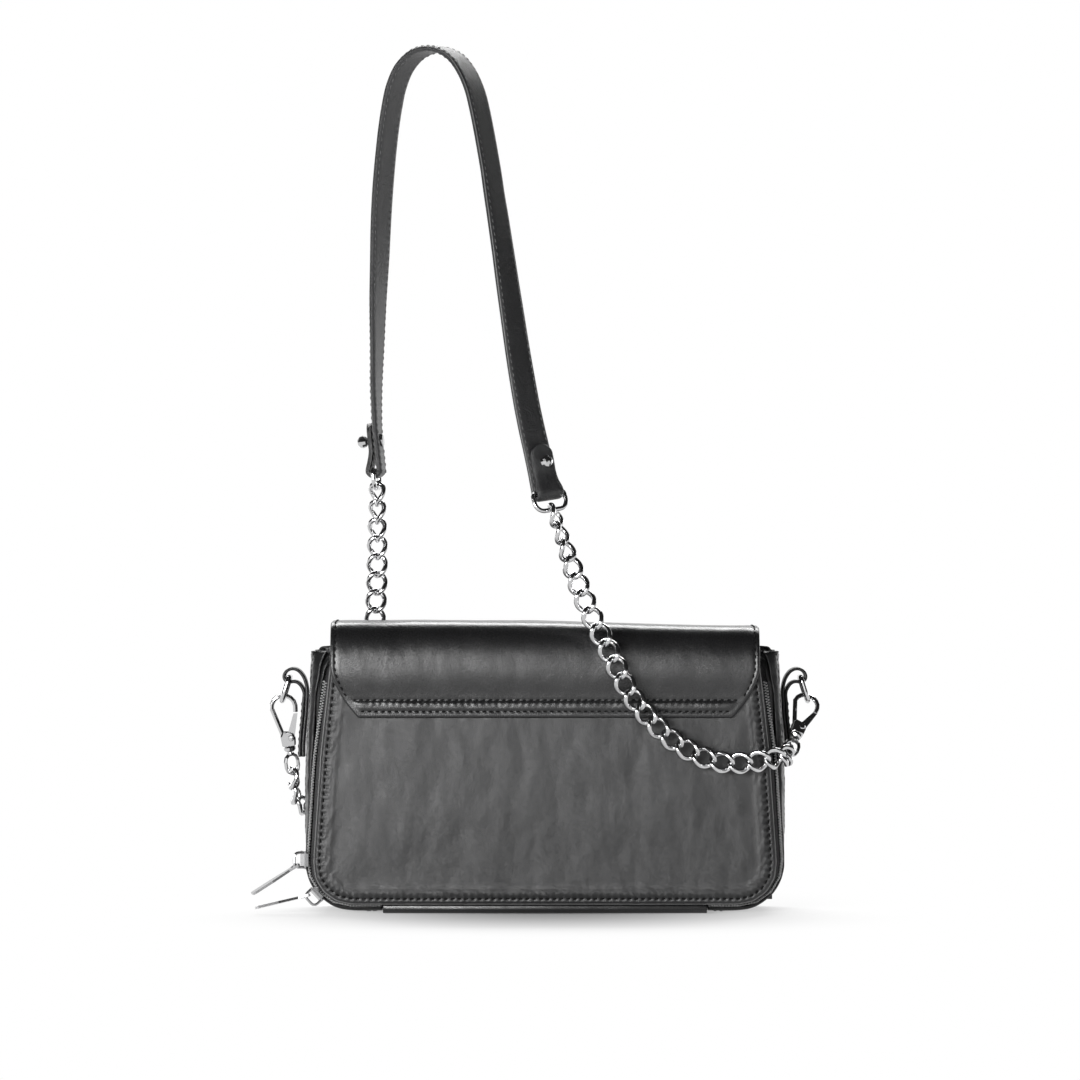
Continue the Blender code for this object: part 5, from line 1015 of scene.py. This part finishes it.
def softSlab(name, node, material, axis, seed, shoulder=0.0):
    # a soft flat piece inside its solid's own box: domed a little, with slow creases and round edges
    low, high = (Vector(v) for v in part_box(node))
    size = high - low
    a, b = [k for k in range(3) if k != axis]
    half = size[axis] / 2
    columns, rows = slab["steps"]
    fronts, backs = [], []
    for r in range(rows + 1):
        front, back = [], []
        for c in range(columns + 1):
            u, v = c / columns, r / rows
            u = 0.5 - 0.5 * math.cos(math.pi * u) if u * (1 - u) < 0.02 else u
            p = Vector((0.0, 0.0, 0.0))
            p[a] = low[a] + size[a] * u
            p[b] = low[b] + size[b] * v * (1 - shoulder * smoothStep((abs(p[a]) / size[a] - 0.42) / 0.04))
            p[axis] = (low[axis] + high[axis]) / 2
            rim = min(u * size[a], (1 - u) * size[a], v * size[b], (1 - v) * size[b]) / half
            full = math.sqrt(max(1 - (1 - min(rim, 1.0)) ** 2, 0.0))
            thick = half * (0.25 + 0.75 * full) * (1 - slab["puff"] * 0.3)
            drift = slab["crease"] * half * wave(p[a] * 40, p[b] * 40, seed) * full
            for line, rise in ((front, thick + drift), (back, drift - thick)):
                q = p.copy()
                q[axis] += rise
                line.append(q)
        fronts.append(front)
        backs.append(back)
    verts, faces = shell(fronts, backs)
    newPiece(name, verts, faces, material, "body", [node])


softSlab("basePanel", "base_panel", shadedGussetLeather, 2, 2.0)
softSlab("divider", "divider", liningCloth, 1, 3.0, 0.042)
softSlab("slipPocket", "slip_pocket", liningCloth, 1, 4.0)
softSlab("cardPocket", "card_pocket", liningCloth, 1, 5.0)
softened("bottomSpine", "bottom_spine", shadedFlapLeather, "body", edge=0.4)
softened("mainLining", "main_lining", liningCloth, "body", edge=0.3, uneven=0.3)

# side tabs; split is where the two layers of each part below the ring
sideTab = {"layer": 1.6, "chamfer": 0.28, "stitchIn": 1.6, "split": 27.0, "stations": 220}


def sideTabPiece(side, word):
    # one strap of leather, doubled back on itself round the ring and stitched to the wall
    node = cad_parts["tab_" + word]
    points = [(abs(v.co.x) / mm, v.co.z / mm) for v in node.data.vertices]
    low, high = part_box("tab_" + word)
    bottom, split = low.z / mm + 0.05, low.z / mm + sideTab["split"]
    wall = min(x for x, z in points if z < bottom + 1)
    upper = min(x for x, z in points if abs(z - split) < 1.0)
    t = sideTab["layer"] / 2
    a, b = t + 0.05, 3 * t + 0.1
    eyeX, eyeZ = (high.x / mm if side > 0 else -low.x / mm) - 4.0, high.z / mm - 4.0
    # up the wall, over and round the ring, and down again outside
    up, down = [[(wall + o, bottom), (wall + o, bottom + 6), ((wall + upper) / 2 + o, (bottom + split) / 2),
                 (upper + o, split - 3)] for o in (a, b)]
    loop = [(-7.3, -0.6), (-4.7, 2.8), (-1.6, 3.9), (1.3, 2.9), (2.85, 0.5), (2.3, -1.9), (0.3, -3.0), (-2.3, -2.6),
            (-5.0, -3.7)]
    route = up + [(upper + a + 0.35, split + 3), (upper + 2.2, eyeZ - 5.6)]
    route += [(eyeX + x, eyeZ + z) for x, z in loop]
    route += [(upper + b + 1.0, eyeZ - 7.4), (upper + b + 0.2, split + 3)] + down[::-1]
    line = smoothLine(curveThrough([Vector((x * mm, 0.0, z * mm)) for x, z in route], sideTab["stations"]), 4)
    for p in line:
        p.x += (bulgeAt(p.z) - 1.1 * mm) * smoothStep((eyeZ * mm - 2 * mm - p.z) / (14 * mm))
    wide, middle = (high.y - low.y) / 2, (high.y + low.y) / 2
    bevel = sideTab["chamfer"] * mm
    rings = []
    for n, p in enumerate(line):
        along = lineWay(line, n)
        out = Vector((along.z, 0.0, -along.x))
        section = []
        for face in (1, -1):
            for k in range(9):
                share = face * (-1 + 2 * k / 8)
                rise = t * mm * (0.93 + 0.07 * (1 - abs(share) ** 3))
                section.append((share * (wide - bevel), face * rise))
            section.append((face * wide, face * (t * mm - bevel)))
            section.append((face * wide, -face * (t * mm - bevel)))
        rings.append([Vector((side * (p.x + out.x * o), middle + y, p.z + out.z * o)) for y, o in section])
    verts, faces = outwardFaces(*loft(rings))
    newPiece("tab" + word.capitalize(), verts, faces, shadedGussetLeather, "body", ["tab_" + word])
    outer = [p for p in line[len(line) // 2:] if p.z < (split + 2) * mm]
    for row in (-1, 1):
        y = middle + row * (wide - sideTab["stitchIn"] * mm)
        path = [Vector((side * (p.x + t * mm), y, p.z)) for p in outer]
        stitchPiece("tab" + word.capitalize() + ("StitchesNear" if row < 0 else "StitchesFar"), path,
                    [Vector((side, 0.0, 0.0))] * len(path), "body", pitch=3.2, wide=0.5, sink=0.1)


for side, word in ((-1.0, "left"), (1.0, "right")):
    sideTabPiece(side, word)
print("inner pieces, base and tabs made")


# zip: woven tapes and two rows of moulded teeth; its ends lie under leather
zipParts = {"plane": -26.0, "coveredFrom": 116.0, "pitch": 1.43, "toothLength": 1.35, "toothWide": 0.8,
            "toothHigh": 1.0, "offset": 0.85}
# each section of a tooth, from its foot to its head: place, half width and half height
toothSections = [(-0.95, 0.42, 0.42), (-0.75, 0.5, 0.5), (-0.1, 0.5, 0.5), (0.15, 0.34, 0.42), (0.45, 0.36, 0.44),
                 (0.7, 0.5, 0.46), (0.95, 0.34, 0.3)]
toothOutline = ((1, 0.5), (0.5, 1), (-0.5, 1), (-1, 0.5), (-1, -0.5), (-0.5, -1), (0.5, -1), (1, -0.5))
zipPlaces = [Vector((x * mm, zipParts["plane"] * mm, z * mm)) for x, z in zipPath]
frontWays, rearWays = [Vector(w) for w in zipFrontWays], [Vector(w) for w in zipRearWays]
zipRuns = runLengths(zipPlaces)


def zipAt(distance):
    k, share = stretchAt(zipRuns, distance)
    before, after = zipPlaces[max(k - 1, 0)], zipPlaces[min(k + 2, len(zipPlaces) - 1)]
    along = (zipPlaces[k + 1] - zipPlaces[k]).normalized()
    along = (along + ((after - before).normalized() - along) * 0.5).normalized()
    return (zipPlaces[k].lerp(zipPlaces[k + 1], share), along,
            frontWays[k].lerp(frontWays[k + 1], share).normalized(),
            rearWays[k].lerp(rearWays[k + 1], share).normalized())


def tooth(place, along, across, up):
    # a moulded tooth: a rounded block with a narrower head towards the other row
    z = zipParts
    rings = []
    for t, wide, high in toothSections:
        middle = place - across * (t * z["toothLength"] / 2 * mm)
        w, h = wide * z["toothWide"] * mm, high * z["toothHigh"] * mm
        rings.append([middle + along * (w * x) + up * (h * y) for x, y in toothOutline])
    return loft(rings)


# the teeth of one row stand midway between those of the other
for word, body, way, shift in (("Front", "body", 2, 0.25), ("Rear", "rear_panel", 3, 0.75)):
    parts = []
    count = int(zipRuns[-1] / (zipParts["pitch"] * mm))
    for n in range(count):
        found = zipAt((n + shift) * zipRuns[-1] / count)
        if found[0].z > zipParts["coveredFrom"] * mm:
            continue
        across = found[way]
        along = (found[1] - across * found[1].dot(across)).normalized()
        parts.append(tooth(found[0] + across * zipParts["offset"] * mm, along, across, across.cross(along)))
    verts, faces = outwardFaces(*gather(parts))
    newPiece("zipTeeth" + word, verts, faces, toothPlastic, body, ["zip_coil_" + word.lower()])
    tape = softened("zipTape" + word, "zip_tape_" + word.lower(), tapeCloth, body, 0.12, 0.05, 1)
    tape.data.materials.append(shadedGussetLeather)
    top = max(v.co.z for v in tape.data.vertices)
    for v in tape.data.vertices:
        v.co.z = loweredTop(v.co.z, top)
    for face in tape.data.polygons:
        face.material_index = 1 if face.center.z > (zipParts["coveredFrom"] - 1.0) * mm else 0
print("zip made")

# leather strap: two layers stitched together, turned over the rings at both ends, dark outside and paler inside
strap = {"width": 14.5, "thickness": 3.0, "puff": 0.35, "foldStations": 11, "foldThin": 0.92, "tailShare": 0.86,
         "tailRound": 5.5, "tailLength": 18.0, "tailTip": 0.28, "stitchIn": 1.5, "steps": 12}

strapPlaces = [Vector(row[:3]) * mm for row in strapPath]
strapWides = [Vector(row[3:]).normalized() for row in strapPath]


def strapSection(place, wide, out, thin):
    # a section from the outer face round the edge to the inner face and back
    half, thick = strap["width"] / 2, strap["thickness"] / 2 * thin
    turns = [-1 + 2 * k / strap["steps"] for k in range(strap["steps"] + 1)]

    def face(u, puff, groove):
        full = thick * (0.62 + 0.38 * math.sqrt(max(1 - abs(u) ** 14, 0.0)))
        return full + puff * 0.5 * (1 - u * u) * 0.5 - groove * bump(abs(u), 0.8, 0.05)

    outer = [(u * (half - 0.25), face(u, strap["puff"], 0.16)) for u in turns]
    edge = [(half - 0.02, thick * 0.42), (half + 0.08, 0.0), (half - 0.02, -thick * 0.42)]
    inner = [(u * (half - 0.25), -face(u, 0.0, 0.1)) for u in turns[::-1]]
    back = [(-x, -y) for x, y in edge]
    return [place + wide * (x * mm) + out * (y * mm) for x, y in outer + edge + inner + back]


def denseStrap():
    # more stations along the measured line, finer round the folds and finest at the tips
    places, wides = [], []
    count = len(strapPlaces)
    for n in range(count - 1):
        last = min(n, count - 2 - n)
        parts = 8 if last == 0 else 3 if last < strap["foldStations"] else 5
        for k in range(parts):
            places.append(curvePoint(strapPlaces, n, k / parts))
            wides.append(strapWides[n].lerp(strapWides[n + 1], k / parts).normalized())
    places.append(strapPlaces[-1])
    wides.append(strapWides[-1])
    return places, wides


places, wides = denseStrap()
foldCount = strap["foldStations"] * 3 + 5
strapRows, strapOuts, strapShares = [], [], []
reached = [length / mm for length in runLengths(places)]
for n, place in enumerate(places):
    along = lineWay(places, n)
    wide = (wides[n] - along * wides[n].dot(along)).normalized()
    out = along.cross(wide).normalized()
    strapOuts.append(out)
    last = min(n, len(places) - 1 - n)
    fromEnd = min(reached[n], reached[-1] - reached[n])
    tip = min(fromEnd / strap["tailRound"], 1.0)
    narrow = strap["tailShare"] + (1 - strap["tailShare"]) * smoothStep((fromEnd - strap["tailLength"]) / 6.0)
    narrow *= max(math.sqrt(1 - (1 - tip) ** 2), strap["tailTip"])
    strapShares.append(narrow)
    strapRows.append(strapSection(place, wide * narrow, out, strap["foldThin"] if last < foldCount - 4 else 1.0))
verts, faces = loft(strapRows)
# the paint of each face: outer leather 0, inner leather 1, edge with a painted highlight 2
kinds = []
for r in range(len(strapRows) - 1):
    folded = r < foldCount or r > len(strapRows) - 2 - foldCount
    kinds += [2 if c in (12, 31) else 1 if 16 <= c < 28 and not folded else 0 for c in range(len(strapRows[0]))]
kinds += [2, 2]
strapPiece = newPiece("strapLeatherPiece", verts, faces, strapLeather, "shoulder_strap", ["strap"])
strapPiece.data.materials.append(strapLiningLeather)
strapPiece.data.materials.append(paintedEdgeHighlight)
for polygon, kind in zip(strapPiece.data.polygons, kinds):
    polygon.material_index = kind
check = bmesh.new()
check.from_mesh(strapPiece.data)
if check.calc_volume(signed=True) < 0:
    strapPiece.data.flip_normals()
check.free()
for side, label in ((-1, "Near"), (1, "Far")):
    for face, word in ((1, "Outer"), (-1, "Inner")):
        lift = (strap["thickness"] / 2 - 0.06) * face
        low, high = (foldCount - 3, len(places) - foldCount + 3) if face < 0 else (0, len(places))
        kept = [n for n in range(low, high) if min(reached[n], reached[-1] - reached[n]) > 1.8]
        inward = [side * (strap["width"] / 2 * strapShares[n] - strap["stitchIn"]) * mm for n in kept]
        path = [places[n] + wides[n] * x + strapOuts[n] * (lift * mm) for n, x in zip(kept, inward)]
        outs = [strapOuts[n] * face for n in kept]
        row = stitchPiece("strapStitches" + label + word, path, outs, "shoulder_strap",
                          length=2.2, wide=0.48, sink=0.08)
        row.data.materials[0] = strapThread
print("strap made")


# curb chain: twisted links with flattened, polished faces
chain = {"length": 13.6, "width": 11.4, "wire": 2.5, "twist": 45.0, "steps": 40, "sides": 16, "flats": 0.18}


def chainLink(place, along, flat):
    c = chain
    halfLong, halfWide = (c["length"] - c["wire"]) / 2 * mm, (c["width"] - c["wire"]) / 2 * mm
    side = flat.cross(along).normalized()
    points = []
    for k in range(c["steps"]):
        turn = 2 * math.pi * k / c["steps"]
        lean = math.radians(c["twist"]) * math.cos(turn)
        across = side * math.cos(lean) + flat * math.sin(lean)
        points.append(place + along * (halfLong * math.cos(turn)) + across * (halfWide * math.sin(turn)))
    rings = []
    for k, p in enumerate(points):
        way = (points[(k + 1) % len(points)] - points[k - 1]).normalized()
        level = (flat - way * flat.dot(way)).normalized()
        beside = way.cross(level)
        ring = []
        for q in range(c["sides"]):
            a = 2 * math.pi * q / c["sides"]
            # a section pressed flat above and below, as filed curb links are
            high = math.sin(a)
            high = math.copysign(min(abs(high), 1 - c["flats"] * abs(math.sin(2 * math.pi * k / c["steps"]))), high)
            ring.append(p + beside * (math.cos(a) * c["wire"] / 2 * mm) + level * (high * c["wire"] / 2 * mm))
        rings.append(ring)
    return loft(rings, True)


for word, rows in (("Left", chainLeft), ("Right", chainRight)):
    links = []
    middles = [Vector(row[:3]) * mm for row in rows]
    for n, row in enumerate(rows):
        along = lineWay(middles, n)
        level = Vector(row[3:])
        level = (level - along * level.dot(along)).normalized()
        links.append(chainLink(middles[n], along, level))
    verts, faces = outwardFaces(*gather(links))
    made = newPiece("chain" + word, verts, faces, plated, None, ["chain_" + word.lower()])
    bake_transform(made)
print("chains made")


# bent wire rings: the wire, the inner width, the depth and the corners' radius of each kind
wireRings = {"side": (2.5, 16.6, 12.6, 5.5), "strap": (2.3, 15.2, 9.4, 4.6), "sides": 18, "stations": 96}


def ringFrame(origin, across, up):
    z = Vector(up).normalized()
    x = Vector(across).normalized()
    x = (x - z * x.dot(z)).normalized()
    y = z.cross(x)
    turned = Matrix((x, y, z)).transposed().to_4x4()
    return Matrix.Translation(Vector(origin) * mm) @ turned


def bentRing(size):
    wire, inner, depth, radius = size
    half = (inner + wire) / 2
    corners = [((-half, 0.0), wire), ((-half, -depth), radius), ((half, -depth), radius), ((half, 0.0), wire)]
    points = []
    for n, ((x, z), r) in enumerate(corners):
        before, after = Vector(corners[n - 1][0]), Vector(corners[(n + 1) % 4][0])
        here = Vector((x, z))
        a, b = here + (before - here).normalized() * r, here + (after - here).normalized() * r
        for k in range(9):
            t = k / 8
            middle = here + ((a - here) + (b - here))
            turn = (a - middle) * math.cos(t * math.pi / 2) + (b - middle) * math.sin(t * math.pi / 2)
            points.append(middle + turn)
    return resample([Vector((p.x * mm, 0.0, p.y * mm)) for p in points], wireRings["stations"], True)


def wireRing(kind, word, *stand):
    size, place = wireRings[kind], ringFrame(*stand)
    path = [place @ p for p in bentRing(size)]
    verts, faces = outwardFaces(*wireLoop(path, size[0] / 2 * mm, wireRings["sides"]))
    body = word + ("_ring" if kind == "side" else "_strap_ring")
    newPiece(kind + "Ring" + word.capitalize(), verts, faces, plated, body, [kind + "_ring_" + word])


# each ring's place, the way across it and the way up
wireRing("side", "left", (-129.75, 8, 117.32), (0, -1, 0), (0.2924, 0, 0.9563))
wireRing("side", "right", (129.75, 8, 117.32), (0, 1, 0), (-0.2924, 0, 0.9563))
wireRing("strap", "left", (-86.91, 32.41, 222.93), (0.1383, 0.9904, 0.0081), (-0.104, 0.0063, 0.9946))
wireRing("strap", "right", (1.29, -50.14, 210.91), (0.8822, 0.4481, 0.1445), (-0.2651, 0.2193, 0.9389))
print("rings made")


# the other metal pieces keep their solids, with rounded edges and plating
metalPieces = {"edge": 0.28, "fineEdge": 0.16, "segments": 3, "sharpFrom": 38}
for name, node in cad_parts.items():
    words = name.split("_")[0]
    if words not in ("slider", "pull", "gate", "hook", "swivel", "stud"):
        continue
    node.data.materials.clear()
    node.data.materials.append(platedDull if words in ("slider", "pull") else plated)
    rounding = node.modifiers.new("rounding", "BEVEL")
    rounding.width = (metalPieces["edge"] if words in ("pull", "slider") else metalPieces["fineEdge"]) * mm
    rounding.segments = metalPieces["segments"]
    rounding.limit_method = "ANGLE"
    rounding.angle_limit = math.radians(metalPieces["sharpFrom"])
    rounding.harden_normals = False
print("metal finished")
